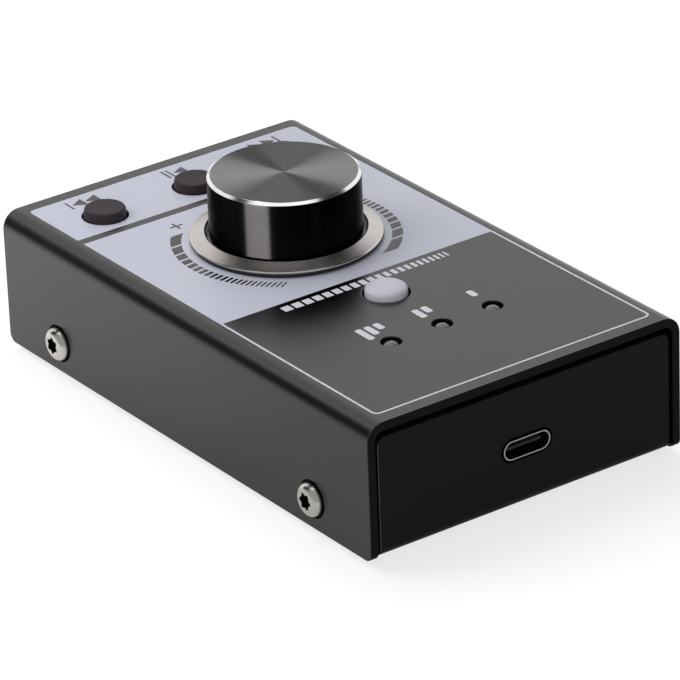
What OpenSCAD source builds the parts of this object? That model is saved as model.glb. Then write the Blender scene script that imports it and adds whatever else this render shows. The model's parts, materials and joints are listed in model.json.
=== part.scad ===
// Desktop volume controller: a folded metal box with a turned knob, four push buttons,
// three indicator lights and a small socket in its rear wall.
// The media buttons are at the front, towards -Y, and the socket looks out along +Y.
// The origin is on the table, under the middle of the box. All sizes are in millimetres.

/* [Housing] */
// Width of the cover across its side walls
body_w = 60; // [58:0.5:64]
// Length of the cover from its front edge to its rear edge
body_l = 100; // [98:0.5:104]
// Height of the cover, without the feet
body_h = 23; // [22.5:0.1:24]
// Thickness of the folded sheet
sheet = 1.5; // [1.2:0.1:1.6]
// Outer radius of the cover's two long bends
cover_bend_r = 3; // [2:0.1:3.5]
// Outer radius of the bends along the foot of the tray's end walls
tray_bend_r = 2; // [1.7:0.1:2.5]
// Radius of the sheet's cut corners
cut_corner_r = 1.5; // [0.5:0.1:2.5]
// Gap between the tray's end walls and the cover's side walls
wall_gap = 0.5; // [0.3:0.1:1]
// Gap between the top of the tray's end walls and the cover
top_gap = 1; // [0.5:0.1:1.5]
// How far the tray's end walls lie behind the cover's cut ends
wall_inset = 0.2; // [0:0.1:0.8]

/* [Feet] */
// Height of a rubber foot
foot_h = 1.2; // [0.8:0.1:3]
// Radius of a rubber foot at the tray
foot_r = 4; // [3:0.5:6]
// Distance from the middle of the box to the feet, across
foot_x = 22; // [18:0.5:24]
// Distance from the middle of the box to the feet, along
foot_y = 41; // [36:0.5:43]

/* [Knob and ring] */
// Distance of the knob's axis in front of the middle of the box
knob_setback = 12.4; // [10:0.1:14]
// Radius of the knob
knob_r = 12.4; // [12:0.1:12.6]
// Height of the knob's top over the cover
knob_rise = 11.45; // [11:0.05:13]
// Gap between the cover and the knob's lower edge
knob_lift = 1; // [0.8:0.1:1.3]
// Thickness of the knob's side wall
knob_wall = 1.4; // [1:0.1:2]
// Thickness of the knob's top
knob_top = 1.85; // [1.5:0.05:2.2]
// Width of the bright cut edge round the knob's top
knob_edge_w = 0.7; // [0.3:0.05:1]
// Height of the bright cut edge round the knob's top
knob_edge_h = 0.48; // [0.2:0.02:0.8]
// Number of ribs in the knob's moulded core
core_ribs = 10; // [6:1:12]
// Outer radius of the ring round the knob
ring_r = 15.6; // [15:0.1:16.2]
// Radius of the hole in the ring
ring_hole_r = 12.9; // [12.8:0.1:13.4]
// Height of the ring's outer rim
ring_rim_h = 1; // [0.5:0.1:1.4]
// Height of the ring at its hole
ring_crown_h = 1.85; // [1.5:0.05:2.4]
// Width of the cut edge round the ring's hole
ring_edge = 0.25; // [0.1:0.05:0.5]

/* [Buttons] */
// Distance from the middle of the box to the outer media buttons, across
media_x = 17.7; // [15:0.1:19]
// Distance of the media buttons in front of the middle of the box
media_setback = 38.2; // [37.5:0.1:40]
// Radius of the holes for the media buttons
media_hole_r = 3.87; // [3.8:0.01:4.2]
// Radius of a media button at the cover
media_foot_r = 3.55; // [3.4:0.01:3.6]
// Radius of a media button at its top
media_top_r = 3.35; // [3:0.05:3.4]
// Height of a media button over the cover
media_rise = 1.55; // [1:0.05:2.5]
// Radius of the rounded edge of a media button
media_edge_r = 0.4; // [0.2:0.05:0.6]
// Distance of the mode button behind the middle of the box
mode_y = 14.4; // [13:0.1:16]
// Radius of the hole for the mode button
mode_hole_r = 3.82; // [3.75:0.01:4.2]
// Radius of the mode button
mode_r = 3.45; // [3.2:0.05:3.5]
// Height of the mode button's crown over the cover
mode_rise = 1.7; // [1.2:0.05:2.5]
// Travel of every push button
button_travel = 0.3; // [0.2:0.05:0.4]

/* [Indicator lights] */
// Distance between two lights
light_pitch = 9.8; // [8:0.1:12]
// Distance of the lights behind the middle of the box
light_y = 28.9; // [26:0.1:32]
// Radius of the holes for the lights
light_hole_r = 1.7; // [1.6:0.05:2]
// Radius of a light
light_r = 1.5; // [1.3:0.05:1.5]
// How far the tip of a light lies under the top of the cover
light_sink = 0.4; // [0:0.1:1]

/* [Circuit board] */
// Height of the board's upper face over the underside of the tray
board_rise = 8.5; // [8.3:0.1:8.8]
// Thickness of the board
board_t = 1.6; // [1.2:0.2:1.6]
// Width of the board
board_w = 48; // [47:0.5:48]
// Gap between the board and the tray's rear wall
board_rear_gap = 0.5; // [0.3:0.1:1]
// Length of the board
board_l = 93.5; // [92:0.5:94]
// Distance from the middle of the box to the board's screws, across
standoff_x = 19.5; // [19:0.1:20.5]
// Positions of the board's screws along the box
standoff_ys = [-27, 34];

/* [Rotary encoder] */
// Radius of the shaft
shaft_r = 3; // [2.9:0.01:3]
// Radial clearance of the shaft in its bush
shaft_play = 0.05; // [0.02:0.01:0.08]
// Height of the shaft's end over the encoder's shoulder
shaft_rise = 15; // [14:0.5:16]
// Length of the flat on the shaft
flat_l = 7; // [6:0.5:8]
// Height of the shoulder over the board
shoulder_rise = 5.5; // [5.3:0.1:5.7]
// Travel of the shaft when the knob is pressed
press_travel = 0.5; // [0.3:0.05:0.5]

/* [Socket] */
// Width of the socket's shell
port_w = 8.94; // [8.94:0.01:9]
// Height of the socket's shell
port_h = 3.26; // [3.16:0.01:3.26]
// Length of the socket's shell
port_l = 7.35; // [7:0.05:8]
// Clearance between the shell and the hole in the tray's rear wall
port_gap = 0.42; // [0.2:0.02:0.6]

/* [Case screws] */
// Distance from the middle of the box to the screws, along
screw_y = 35; // [32:0.5:36]
// Height of the screws over the underside of the tray
screw_z = 5; // [4.8:0.1:5]
// Radius of a screw's head
head_r = 2.8; // [2.6:0.05:3]
// Height of a screw's head
head_h = 2; // [1.6:0.1:2.4]
// Depth of the round seat that the head sits in
seat_depth = 0.5; // [0.2:0.05:0.6]
// Clearance between a screw's head and its seat
seat_gap = 0.35; // [0.1:0.05:0.5]

/* [Hidden] */
$fn = 64;
cut = 1;                            // how far a cutting solid runs past the face that it cuts
slip = 0.02;                        // gap between pieces that are pushed or glued together

base_z = foot_h;                    // underside of the tray and lower edge of the cover
face_z = base_z + body_h;           // top of the cover
under_z = face_z - sheet;           // underside of the cover's top
floor_z = base_z + sheet;           // upper face of the tray's floor
board_z = base_z + board_rise;      // upper face of the board
knob_y = -knob_setback;
media_y = -media_setback;

inner_w = body_w - 2 * sheet;
tray_w = inner_w - 2 * wall_gap;
tray_l = body_l - 2 * wall_inset;
tray_h = body_h - sheet - top_gap;
tab_w = inner_w - 0.2;              // over the two side tabs, just inside the cover
tab_l = 10;
tab_h = 9;
tab_bend_r = sheet + 0.2;

seat_r = head_r + seat_gap;
screw_r = 1.45;
screw_l = 5;
screw_hole_r = 1.7;
nut_r = 3.15;
nut_h = 1.5;
nut_shank_r = 2.1;
screw_edge_r = 0.75;                // rounding of a screw head's upper edge
screw_crown = 0.2;                  // rise of the head's middle over that rounding
recess_r = 1.4;                     // six-lobed recess, from its middle to the tip of a lobe
recess_core_r = 1.08;
lobe_r = 0.36;
recess_depth = 1.1;

foot_edge_r = 0.35;
foot_taper = 0.45;
ring_bevel = 0.12;
knob_bevel = 0.25;

standoff_af = 4.6;                  // hexagon across its flats
standoff_bore_r = 1.25;
board_screw_r = 1.2;
board_screw_l = 5;
board_head_r = 2.2;
board_head_h = 1.6;
board_head_edge_r = 0.7;
board_screw_drill_r = 1.35;
pin_drill_r = 0.55;                 // for the legs of the switches and of the encoder
lead_drill_r = 0.45;                // for the leads of the lights
small_fn = 24;                      // faces round a small hole

board_rear_y = tray_l / 2 - sheet - board_rear_gap;
port_front_y = tray_l / 2 + 0.1;    // mouth of the shell, a hair proud of the rear wall
port_z = board_z + port_h / 2;
port_t = 0.3;
port_leg_l = 1;
port_leg_y = [-6.4, -3.3];          // legs of the shell, counted from its mouth

cap_flange_r = 4.7;
cap_flange_z = under_z - 0.35;      // upper face of the flange that keeps a button in
cap_flange_h = 1;
cap_bottom_z = face_z - 7.5;
cap_neck_r = 3.2;
plunger_r = 1.75;
plunger_top_z = face_z - 2;
switch_w = 6;
switch_h = 3.5;
switch_leg_t = 0.3;
switch_leg_y = 2.25;
switch_pins_at = [for (x = [-1, 1], y = [-1, 1]) [x * (switch_w + switch_leg_t) / 2, y * switch_leg_y]];
collar_z = 1.5;                     // foot of the plunger's collar, over the board
collar_h = 1;
collar_r = 2.3;
chamber_r = 2.5;
chamber_gap = 0.1;                  // over the collar
chamber_spare = 0.2;                // under the collar, past the travel
switches_at = [[-media_x, media_y], [0, media_y], [media_x, media_y], [0, mode_y]];

lights_at = [[-light_pitch, light_y], [0, light_y], [light_pitch, light_y]];
light_l = 3.9;                      // from the flange to the tip
light_flange_h = 1;
light_flange_r = light_r + 0.4;
spacer_top_z = face_z - light_sink - light_l - light_flange_h;
spacer_r = 2.4;
lead_pitch = 2.54;
pin_end_z = board_z - board_t - 1.2;

encoder_w = 11.8;                   // across the moulded base
encoder_l = 12.2;
shoulder_z = board_z + shoulder_rise;
plate_t = 1.3;
clip_t = 0.4;
clip_leg_w = 2;
bush_r = 3.5;
bush_l = 6.8;
bush_bevel = 0.4;
base_floor = 0.6;                   // floor of the encoder's moulded base
rotor_z = board_z + 0.75;
rotor_r = 4.6;
rotor_gap = 0.4;
rotor_disc_h = 0.7;
rotor_hub_h = 1.9;
rotor_hub_wall = 1;
shaft_bevel = 0.5;
key_r = 2.2;
key_w = 3.2;
key_play = 0.05;
flat_y = 1.5;                       // distance from the shaft's axis to its flat
encoder_pin_y = encoder_l / 2 + 0.2;
encoder_pins_at = [[-2.5, -1], [0, -1], [2.5, -1], [-2.5, 1], [2.5, 1]];

core_r = knob_r - knob_wall - slip;
core_rim = 1.3;
core_hub_r = 5.4;
core_web = 1.3;
rib_t = 1.2;
rib_lift = 0.4;                     // from the core's lower edge to the ribs
knob_z = face_z + knob_lift;
knob_h = knob_rise - knob_lift;

// Points of an arc, from angle a0 to angle a1
function arc(x, y, r, a0, a1, steps) =
    [for (i = [0:steps]) let (a = a0 + (a1 - a0) * i / steps) [x + r * cos(a), y + r * sin(a)]];

// Rectangle that stands on the X axis, with its two upper corners round
module arch(w, h, r) {
    translate([-w / 2, 0]) square([w, h - r]);
    translate([-w / 2 + r, 0]) square([w - 2 * r, h]);
    for (side = [-1, 1]) translate([side * (w / 2 - r), h - r]) circle(r);
}

// Rectangle that stands on the X axis, with its two lower corners round
module cradle(w, h, r) {
    translate([0, h]) mirror([0, 1]) arch(w, h, r);
}

// Rectangle round the origin, with four round corners
module rounded(w, h, r) {
    square([w - 2 * r, h], center = true);
    square([w, h - 2 * r], center = true);
    for (x = [-1, 1], y = [-1, 1]) translate([x * (w / 2 - r), y * (h / 2 - r)]) circle(r);
}

// Slot round the origin, with half-round ends
module slot(w, h) {
    square([w - h, h], center = true);
    for (side = [-1, 1]) translate([side * (w - h) / 2, 0]) circle(h / 2);
}

// Section through a sheet folded up at both sides of a flat floor
module trough(w, h, r) {
    difference() {
        cradle(w, h, r);
        translate([0, sheet]) cradle(w - 2 * sheet, h, r - sheet);
    }
}

// A section drawn in X and Z, carried along Y
module along_y(length) {
    rotate([90, 0, 0]) linear_extrude(height = length, center = true) children();
}

// A section drawn in Y and Z, carried along X
module along_x(length) {
    rotate([90, 0, 90]) linear_extrude(height = length, center = true) children();
}

// Something pointing up, laid so that it points out of the side wall at each case screw
module at_case_screws() {
    for (side = [0, 180], y = [-1, 1])
        translate([0, y * screw_y, base_z + screw_z]) rotate([0, 0, side]) rotate([0, 90, 0]) children();
}

// A shaft with one flat
module d_shape(r, flat, h) {
    intersection() {
        cylinder(r = r, h = h);
        translate([-r - cut, -r - cut, 0]) cube([2 * (r + cut), r + cut + flat, h]);
    }
}

// The keyed lower end of the shaft, with two flats
module key_shape(r, w, h) {
    intersection() {
        cylinder(r = r, h = h);
        translate([-r - cut, -w / 2, 0]) cube([2 * (r + cut), w, h]);
    }
}

// Small square-edged pin, centred on its place
module pin(w, t, z0, z1) {
    translate([-w / 2, -t / 2, z0]) cube([w, t, z1 - z0]);
}

// Cover: one sheet folded down along both sides
module top_cover() {
    color("#5a5b5d") translate([0, 0, base_z]) difference() {
        intersection() {
            along_y(body_l) arch(body_w, body_h, cover_bend_r);
            along_x(body_w + 2 * cut) cradle(body_l, body_h + cut, cut_corner_r);
        }
        translate([0, 0, -cut]) along_y(body_l + 2 * cut)
            arch(inner_w, body_h - sheet + cut, cover_bend_r - sheet);
        translate([0, 0, body_h - sheet - cut]) cover_holes(sheet + 2 * cut);
        for (y = [-1, 1]) translate([0, y * screw_y, screw_z]) rotate([0, 90, 0])
            cylinder(r = screw_hole_r, h = body_w + 2 * cut, center = true);
        translate([0, 0, -base_z]) at_case_screws() translate([0, 0, body_w / 2 - seat_depth])
            cylinder(r = seat_r, h = seat_depth + cut);
    }
}

// The round holes in the cover's top
module cover_holes(h) {
    translate([0, knob_y]) cylinder(r = shaft_r + 1, h = h);
    for (x = [-media_x, 0, media_x]) translate([x, media_y]) cylinder(r = media_hole_r, h = h);
    translate([0, mode_y]) cylinder(r = mode_hole_r, h = h);
    for (p = lights_at) translate(p) cylinder(r = light_hole_r, h = h);
}

// Tray: one sheet folded up at both ends, with a screw tab near each corner
module bottom_tray() {
    color("#1c1c1d") translate([0, 0, base_z]) difference() {
        union() {
            intersection() {
                along_x(tray_w) trough(tray_l, tray_h, tray_bend_r);
                along_y(tray_l + 2 * cut) arch(tray_w, tray_h, cut_corner_r);
            }
            for (y = [-1, 1]) translate([0, y * screw_y, 0])
                along_y(tab_l) trough(tab_w, tab_h, tab_bend_r);
        }
        for (y = [-1, 1]) translate([0, y * screw_y, screw_z]) rotate([0, 90, 0])
            cylinder(r = nut_shank_r + slip, h = body_w, center = true);
        for (x = [-1, 1], y = standoff_ys) translate([x * standoff_x, y, -cut])
            cylinder(r = nut_shank_r + slip, h = sheet + 2 * cut);
        translate([0, tray_l / 2, port_z - base_z]) along_y(4 * sheet)
            slot(port_w + 2 * port_gap, port_h + 2 * port_gap);
    }
}

// Case screws: pan heads with a six-lobed recess, seated in the side walls
module case_screws() {
    color("#c9c6c2") at_case_screws() translate([0, 0, body_w / 2 - seat_depth]) difference() {
        union() {
            rotate_extrude() polygon(concat(
                [[0, 0], [head_r, 0]],
                arc(head_r - screw_edge_r, head_h - screw_edge_r - screw_crown, screw_edge_r, 0, 75, 6),
                [[0, head_h]]));
            translate([0, 0, -screw_l]) cylinder(r = screw_r, h = screw_l);
        }
        translate([0, 0, head_h - recess_depth]) {
            cylinder(r = recess_core_r, h = recess_depth + cut);
            for (a = [0:60:300]) rotate(a) translate([recess_r - lobe_r, 0, 0])
                cylinder(r = lobe_r, h = recess_depth + cut, $fn = small_fn);
        }
    }
}

// Nuts pressed into the tray's tabs from inside
module clinch_nuts() {
    color("#b8b8b4") at_case_screws() translate([0, 0, tab_w / 2 - sheet]) difference() {
        union() {
            translate([0, 0, -nut_h]) cylinder(r = nut_r, h = nut_h);
            cylinder(r = nut_shank_r, h = sheet - 0.5);
        }
        translate([0, 0, -nut_h - cut]) cylinder(r = screw_r + slip, h = nut_h + sheet + cut);
    }
}

// Rubber foot: a low disc, narrower at the table
module foot(x, y) {
    color("#202020") translate([x, y, 0]) rotate_extrude() polygon(concat(
        [[0, 0]],
        arc(foot_r - foot_taper - foot_edge_r, foot_edge_r, foot_edge_r, -90, 0, 5),
        [[foot_r, foot_h], [0, foot_h]]));
}

module front_left_foot() foot(-foot_x, -foot_y);
module front_right_foot() foot(foot_x, -foot_y);
module rear_left_foot() foot(-foot_x, foot_y);
module rear_right_foot() foot(foot_x, foot_y);

// Ring round the knob: an upright rim, a face that rises inwards and a cut inner edge
module bezel_ring() {
    color("#cfcbc6") translate([0, knob_y, face_z]) rotate_extrude($fn = 128) polygon([
        [ring_hole_r, 0],
        [ring_r, 0],
        [ring_r, ring_rim_h - ring_bevel],
        [ring_r - ring_bevel, ring_rim_h],
        [ring_hole_r + ring_edge, ring_crown_h],
        [ring_hole_r, ring_crown_h - ring_edge]
    ]);
}

// Knob: a turned cup with a bright cut edge round its top
module knob_shell() {
    color("#4a4a4c") translate([0, knob_y, knob_z]) rotate_extrude($fn = 128) polygon([
        [knob_r - knob_wall, 0],
        [knob_r - knob_bevel, 0],
        [knob_r, knob_bevel],
        [knob_r, knob_h - knob_edge_h],
        [knob_r - knob_edge_w, knob_h],
        [0, knob_h],
        [0, knob_h - knob_top],
        [knob_r - knob_wall, knob_h - knob_top]
    ]);
}

// Moulded core, pushed into the knob, with a socket for the flat of the shaft
module knob_core() {
    core_h = knob_h - knob_top - slip;
    root = 0.5;                         // how far a rib runs into the hub and the rim
    end_gap = 0.3;                      // over the end of the shaft
    color("#2b2b2c") translate([0, knob_y, knob_z]) difference() {
        union() {
            difference() {
                cylinder(r = core_r, h = core_h);
                translate([0, 0, -cut]) cylinder(r = core_r - core_rim, h = core_h - core_web + cut);
            }
            cylinder(r = core_hub_r, h = core_h);
            for (i = [0:core_ribs - 1]) rotate((i + 0.5) * 360 / core_ribs)
                translate([core_hub_r - root, -rib_t / 2, rib_lift])
                    cube([core_r - core_hub_r - core_rim + 2 * root, rib_t, core_h - rib_lift]);
        }
        translate([0, 0, -cut])
            d_shape(shaft_r + slip, flat_y + slip, shoulder_z + shaft_rise - knob_z + end_gap + cut);
    }
}

// Moulded base of the encoder, open in the middle for the rotor
module encoder_base() {
    color("#26282a") translate([0, knob_y, board_z]) difference() {
        translate([-encoder_w / 2, -encoder_l / 2, 0])
            cube([encoder_w, encoder_l, shoulder_rise - plate_t - clip_t]);
        translate([0, 0, base_floor]) cylinder(r = rotor_r + rotor_gap, h = shoulder_rise);
    }
}

// Cast plate and threaded bush that carry the shaft
module encoder_bush() {
    color("#a9abad") translate([0, knob_y, shoulder_z]) difference() {
        union() {
            translate([-encoder_w / 2, -encoder_l / 2, -plate_t - clip_t])
                cube([encoder_w, encoder_l, plate_t]);
            translate([0, 0, -clip_t - plate_t])
                cylinder(r = bush_r, h = bush_l + plate_t + clip_t - bush_bevel);
            translate([0, 0, bush_l - bush_bevel])
                cylinder(r1 = bush_r, r2 = bush_r - bush_bevel, h = bush_bevel);
        }
        translate([0, 0, -plate_t - clip_t - cut])
            cylinder(r = shaft_r + shaft_play, h = bush_l + plate_t + 2 * cut + clip_t);
    }
}

// Folded strap over the plate, with a leg through the board on each side
module encoder_clip() {
    leg_h = shoulder_z - pin_end_z;
    color("#c4c4c0") translate([0, knob_y, shoulder_z]) difference() {
        union() {
            translate([-encoder_w / 2 - clip_t, -encoder_l / 2, -clip_t])
                cube([encoder_w + 2 * clip_t, encoder_l, clip_t]);
            for (side = [-1, 1])
                translate([side * (encoder_w + clip_t) / 2 - clip_t / 2, -clip_leg_w / 2, -leg_h])
                    cube([clip_t, clip_leg_w, leg_h]);
        }
        translate([0, 0, -clip_t - cut]) cylinder(r = bush_r + slip, h = clip_t + 2 * cut);
    }
}

// Contact pins of the encoder: three at the front and two at the rear
module encoder_pins() {
    color("#d2cfc8") for (p = encoder_pins_at)
        translate([p[0], knob_y + p[1] * encoder_pin_y, 0]) pin(0.8, 0.4, pin_end_z, board_z + 2);
}

// Wiper disc inside the encoder, keyed to the shaft
module encoder_rotor() {
    color("#8a7a4a") translate([0, knob_y, rotor_z]) difference() {
        union() {
            cylinder(r = rotor_r, h = rotor_disc_h);
            cylinder(r = key_r + rotor_hub_wall, h = rotor_hub_h);
        }
        translate([0, 0, -cut]) key_shape(key_r + key_play, key_w + 2 * key_play, rotor_hub_h + 2 * cut);
    }
}

// Shaft: keyed at its foot, round in the bush and flat on one side in the knob
module encoder_shaft() {
    overlap = 0.2;                      // between the lengths that make one shaft
    key_z = rotor_z + press_travel;
    round_z = rotor_z + rotor_hub_h + press_travel + 0.1;
    end_z = shoulder_z + shaft_rise;
    d_z = end_z - flat_l - overlap;
    color("#b9bbbd") translate([0, knob_y, 0]) {
        translate([0, 0, key_z]) key_shape(key_r, key_w, round_z - key_z + overlap);
        translate([0, 0, round_z]) cylinder(r = shaft_r, h = end_z - flat_l - round_z);
        intersection() {
            union() {
                translate([0, 0, d_z]) cylinder(r = shaft_r, h = end_z - shaft_bevel - d_z);
                translate([0, 0, end_z - shaft_bevel])
                    cylinder(r1 = shaft_r, r2 = shaft_r - shaft_bevel, h = shaft_bevel);
            }
            translate([-shaft_r - cut, -shaft_r - cut, d_z])
                cube([2 * (shaft_r + cut), shaft_r + cut + flat_y, flat_l + cut]);
        }
    }
}

// Circuit board, drilled for its screws and for every pin
module circuit_board() {
    drill = board_t + 2 * cut;
    color("#1f5a35") translate([0, 0, board_z - board_t]) difference() {
        translate([0, board_rear_y - board_l / 2, 0]) linear_extrude(height = board_t)
            rounded(board_w, board_l, 1.5);
        translate([0, 0, -cut]) {
            for (x = [-1, 1], y = standoff_ys) translate([x * standoff_x, y])
                cylinder(r = board_screw_drill_r, h = drill);
            for (s = switches_at, p = switch_pins_at) translate(s + p)
                cylinder(r = pin_drill_r, h = drill, $fn = small_fn);
            for (p = encoder_pins_at) translate([p[0], knob_y + p[1] * encoder_pin_y])
                cylinder(r = pin_drill_r, h = drill, $fn = small_fn);
            for (side = [-1, 1]) translate([side * (encoder_w + clip_t) / 2, knob_y])
                leg_slot(clip_t, clip_leg_w, drill);
            for (l = lights_at, side = [-1, 1]) translate([l[0] + side * lead_pitch / 2, l[1]])
                cylinder(r = lead_drill_r, h = drill, $fn = small_fn);
            for (side = [-1, 1], y = port_leg_y) translate([side * (port_w - port_t) / 2, port_front_y + y])
                leg_slot(port_t, port_leg_l, drill);
        }
    }
}

// Slot in the board for a flat leg, a little larger than the leg
module leg_slot(t, l, h) {
    play = [0.15, 0.2];
    translate([-t / 2 - play[0], -l / 2 - play[1]]) cube([t + 2 * play[0], l + 2 * play[1], h]);
}

// Hexagonal pillars pressed into the tray's floor, under the board
module board_standoffs() {
    pillar_h = board_z - board_t - floor_z;
    corner_r = standoff_af / sqrt(3);
    bore_floor = 0.6;
    color("#c9a24a") for (x = [-1, 1], y = standoff_ys)
        translate([x * standoff_x, y, base_z]) difference() {
            union() {
                cylinder(r = nut_shank_r, h = sheet);
                translate([0, 0, sheet]) rotate(30) cylinder(r = corner_r, h = pillar_h, $fn = 6);
            }
            translate([0, 0, sheet + bore_floor]) cylinder(r = standoff_bore_r, h = pillar_h);
        }
}

// Screws that hold the board down on the pillars
module board_screws() {
    cross = [2.4, 0.6];
    cross_depth = 0.9;
    color("#c2c2c0") for (x = [-1, 1], y = standoff_ys)
        translate([x * standoff_x, y, board_z]) difference() {
            union() {
                rotate_extrude() polygon(concat(
                    [[0, 0], [board_head_r, 0]],
                    arc(board_head_r - board_head_edge_r, board_head_h - board_head_edge_r - 0.1,
                        board_head_edge_r, 0, 80, 5),
                    [[0, board_head_h]]));
                translate([0, 0, -board_screw_l]) cylinder(r = board_screw_r, h = board_screw_l);
            }
            for (a = [0, 90]) rotate(a) translate([-cross[0] / 2, -cross[1] / 2, board_head_h - cross_depth])
                cube([cross[0], cross[1], board_head_h]);
        }
}

// Controller: a flat chip with a row of bent leads on each long side
module controller_chip() {
    body = [4, 10, 1.5];
    lift = 0.15;
    pitch = 1.27;
    count = 8;                          // on each side
    lead_w = 0.4;
    lead_t = 0.2;
    knee = 0.6;                         // from the body to the outer side of the lead's upright
    toe = 1.1;
    color("#2a2a2b") translate([-14.5, 8, board_z]) {
        translate([-body[0] / 2, -body[1] / 2, lift]) cube(body);
        for (side = [0, 180], i = [0:count - 1]) rotate(side)
            translate([body[0] / 2, (i - (count - 1) / 2) * pitch + lead_w / 2, 0]) rotate([90, 0, 0])
                linear_extrude(height = lead_w) polygon([
                    [-0.1, 0.7], [knee - lead_t, 0.7], [knee - lead_t, 0], [toe, 0], [toe, lead_t],
                    [knee, lead_t], [knee, 0.7 + lead_t], [-0.1, 0.7 + lead_t]]);
    }
}

// Crystal: a low metal can with round ends
module crystal() {
    can = [10.2, 3.7, 3.5];
    brim = 0.45;
    brim_h = 0.4;
    color("#bfc1c3") translate([-13.5, -1.5, board_z]) {
        linear_extrude(height = brim_h) slot(can[0] + 2 * brim, can[1] + 2 * brim);
        linear_extrude(height = can[2]) slot(can[0], can[1]);
    }
}

// Capacitor: a round can on a square base
module capacitor() {
    base = [5.2, 5.2, 0.8];
    color("#8d9094") translate([13.5, 6, board_z]) {
        translate([-base[0] / 2, -base[1] / 2, 0]) cube(base);
        cylinder(r = 2.5, h = 5.4);
    }
}

// Socket shell: a folded tube with legs through the board
module usb_shell() {
    color("#c8c8c6") {
        translate([0, port_front_y - port_l / 2, port_z]) difference() {
            along_y(port_l) slot(port_w, port_h);
            translate([0, port_t, 0]) along_y(port_l) slot(port_w - 2 * port_t, port_h - 2 * port_t);
        }
        for (side = [-1, 1], y = port_leg_y)
            translate([side * (port_w - port_t) / 2, port_front_y + y, 0])
                pin(port_t, port_leg_l, pin_end_z, port_z);
    }
}

// Moulded tongue in the middle of the socket, on its rear block
module usb_tongue() {
    block_l = 1.8;
    root = 0.2;                         // how far the blade runs into the block
    blade = [6.7, 4.65, 0.7];
    color("#1a1a1a") translate([0, port_front_y - port_l + port_t, port_z]) {
        translate([0, block_l / 2, 0]) along_y(block_l)
            slot(port_w - 2 * (port_t + slip), port_h - 2 * (port_t + slip));
        translate([-blade[0] / 2, block_l - root, -blade[2] / 2]) cube(blade);
    }
}

// The lower part that all four buttons share: a flange under the cover, and a neck over the plunger
module cap_stem(top_r) {
    difference() {
        union() {
            translate([0, 0, cap_bottom_z]) cylinder(r = cap_neck_r, h = cap_flange_z - cap_bottom_z);
            translate([0, 0, cap_flange_z - cap_flange_h]) cylinder(r = cap_flange_r, h = cap_flange_h);
            translate([0, 0, cap_flange_z]) cylinder(r = top_r, h = face_z - cap_flange_z);
            children();
        }
        translate([0, 0, cap_bottom_z - cut])
            cylinder(r = plunger_r + slip, h = plunger_top_z - cap_bottom_z + cut + slip);
    }
}

// Media button: tapered, with a rounded upper edge and a slightly hollow top
module media_cap(x) {
    hollow = 0.08;
    color("#3a3638") translate([x, media_y, 0]) cap_stem(media_foot_r) translate([0, 0, face_z])
        rotate_extrude() polygon(concat(
            [[0, -cut], [media_foot_r, -cut], [media_foot_r, 0]],
            arc(media_top_r - media_edge_r, media_rise - media_edge_r, media_edge_r, 5, 90, 7),
            [[0, media_rise - hollow]]));
}

module previous_cap() media_cap(-media_x);
module play_cap() media_cap(0);
module next_cap() media_cap(media_x);

// Mode button: a soft crown, much fuller than an ellipse
module mode_cap() {
    fullness = 0.5;                     // 1 is an ellipse, and a lower value is fuller
    steps = 14;
    color("#d7d9df") translate([0, mode_y, 0]) cap_stem(mode_r) translate([0, 0, face_z])
        rotate_extrude() polygon(concat(
            [[0, -cut], [mode_r, -cut]],
            [for (i = [0:steps]) let (a = 90 * i / steps)
                [mode_r * pow(cos(a), fullness), mode_rise * pow(sin(a), fullness)]]));
}

// Plunger of a push switch: a round pin with a collar inside the switch
module plunger(x, y) {
    color("#dcdcd8") translate([x, y, board_z]) {
        translate([0, 0, collar_z]) cylinder(r = collar_r, h = collar_h);
        translate([0, 0, collar_z]) cylinder(r = plunger_r, h = plunger_top_z - board_z - collar_z);
    }
}

module previous_plunger() plunger(-media_x, media_y);
module play_plunger() plunger(0, media_y);
module next_plunger() plunger(media_x, media_y);
module mode_plunger() plunger(0, mode_y);

// Push switch: a square body with a round chamber for the plunger's collar
module switch_body(x, y) {
    chamber_z = collar_z - button_travel - chamber_spare;
    rivet_at = 2.25;
    rivet_r = 0.45;
    rivet_depth = 0.3;
    color("#33363a") translate([x, y, board_z]) difference() {
        translate([-switch_w / 2, -switch_w / 2, 0]) cube([switch_w, switch_w, switch_h]);
        translate([0, 0, chamber_z])
            cylinder(r = chamber_r, h = collar_z + collar_h + chamber_gap - chamber_z);
        translate([0, 0, collar_z]) cylinder(r = plunger_r + 0.05, h = switch_h);
        for (x = [-1, 1], y = [-1, 1]) translate([x * rivet_at, y * rivet_at, switch_h - rivet_depth])
            cylinder(r = rivet_r, h = rivet_depth + cut, $fn = small_fn);
    }
}

module previous_switch() switch_body(-media_x, media_y);
module play_switch() switch_body(0, media_y);
module next_switch() switch_body(media_x, media_y);
module mode_switch() switch_body(0, mode_y);

// Legs of the four push switches
module switch_pins() {
    color("#d2cfc8") for (s = switches_at, p = switch_pins_at)
        translate(s + p) pin(switch_leg_t, 0.7, pin_end_z, board_z + 1.6);
}

// Indicator light: a clear domed body with a flange
module light(p) {
    color("#e8e8ea") translate([p[0], p[1], spacer_top_z]) {
        cylinder(r = light_flange_r, h = light_flange_h);
        cylinder(r = light_r, h = light_flange_h + light_l - light_r);
        translate([0, 0, light_flange_h + light_l - light_r]) sphere(r = light_r);
    }
}

module left_light() light(lights_at[0]);
module middle_light() light(lights_at[1]);
module right_light() light(lights_at[2]);

// Tube that holds a light up at the cover, slotted for its leads
module light_spacer(p) {
    slit = [3.5, 0.9];
    color("#222224") translate([p[0], p[1], board_z]) difference() {
        cylinder(r = spacer_r, h = spacer_top_z - board_z);
        translate([-slit[0] / 2, -slit[1] / 2, -cut])
            cube([slit[0], slit[1], spacer_top_z - board_z + 2 * cut]);
    }
}

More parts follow.
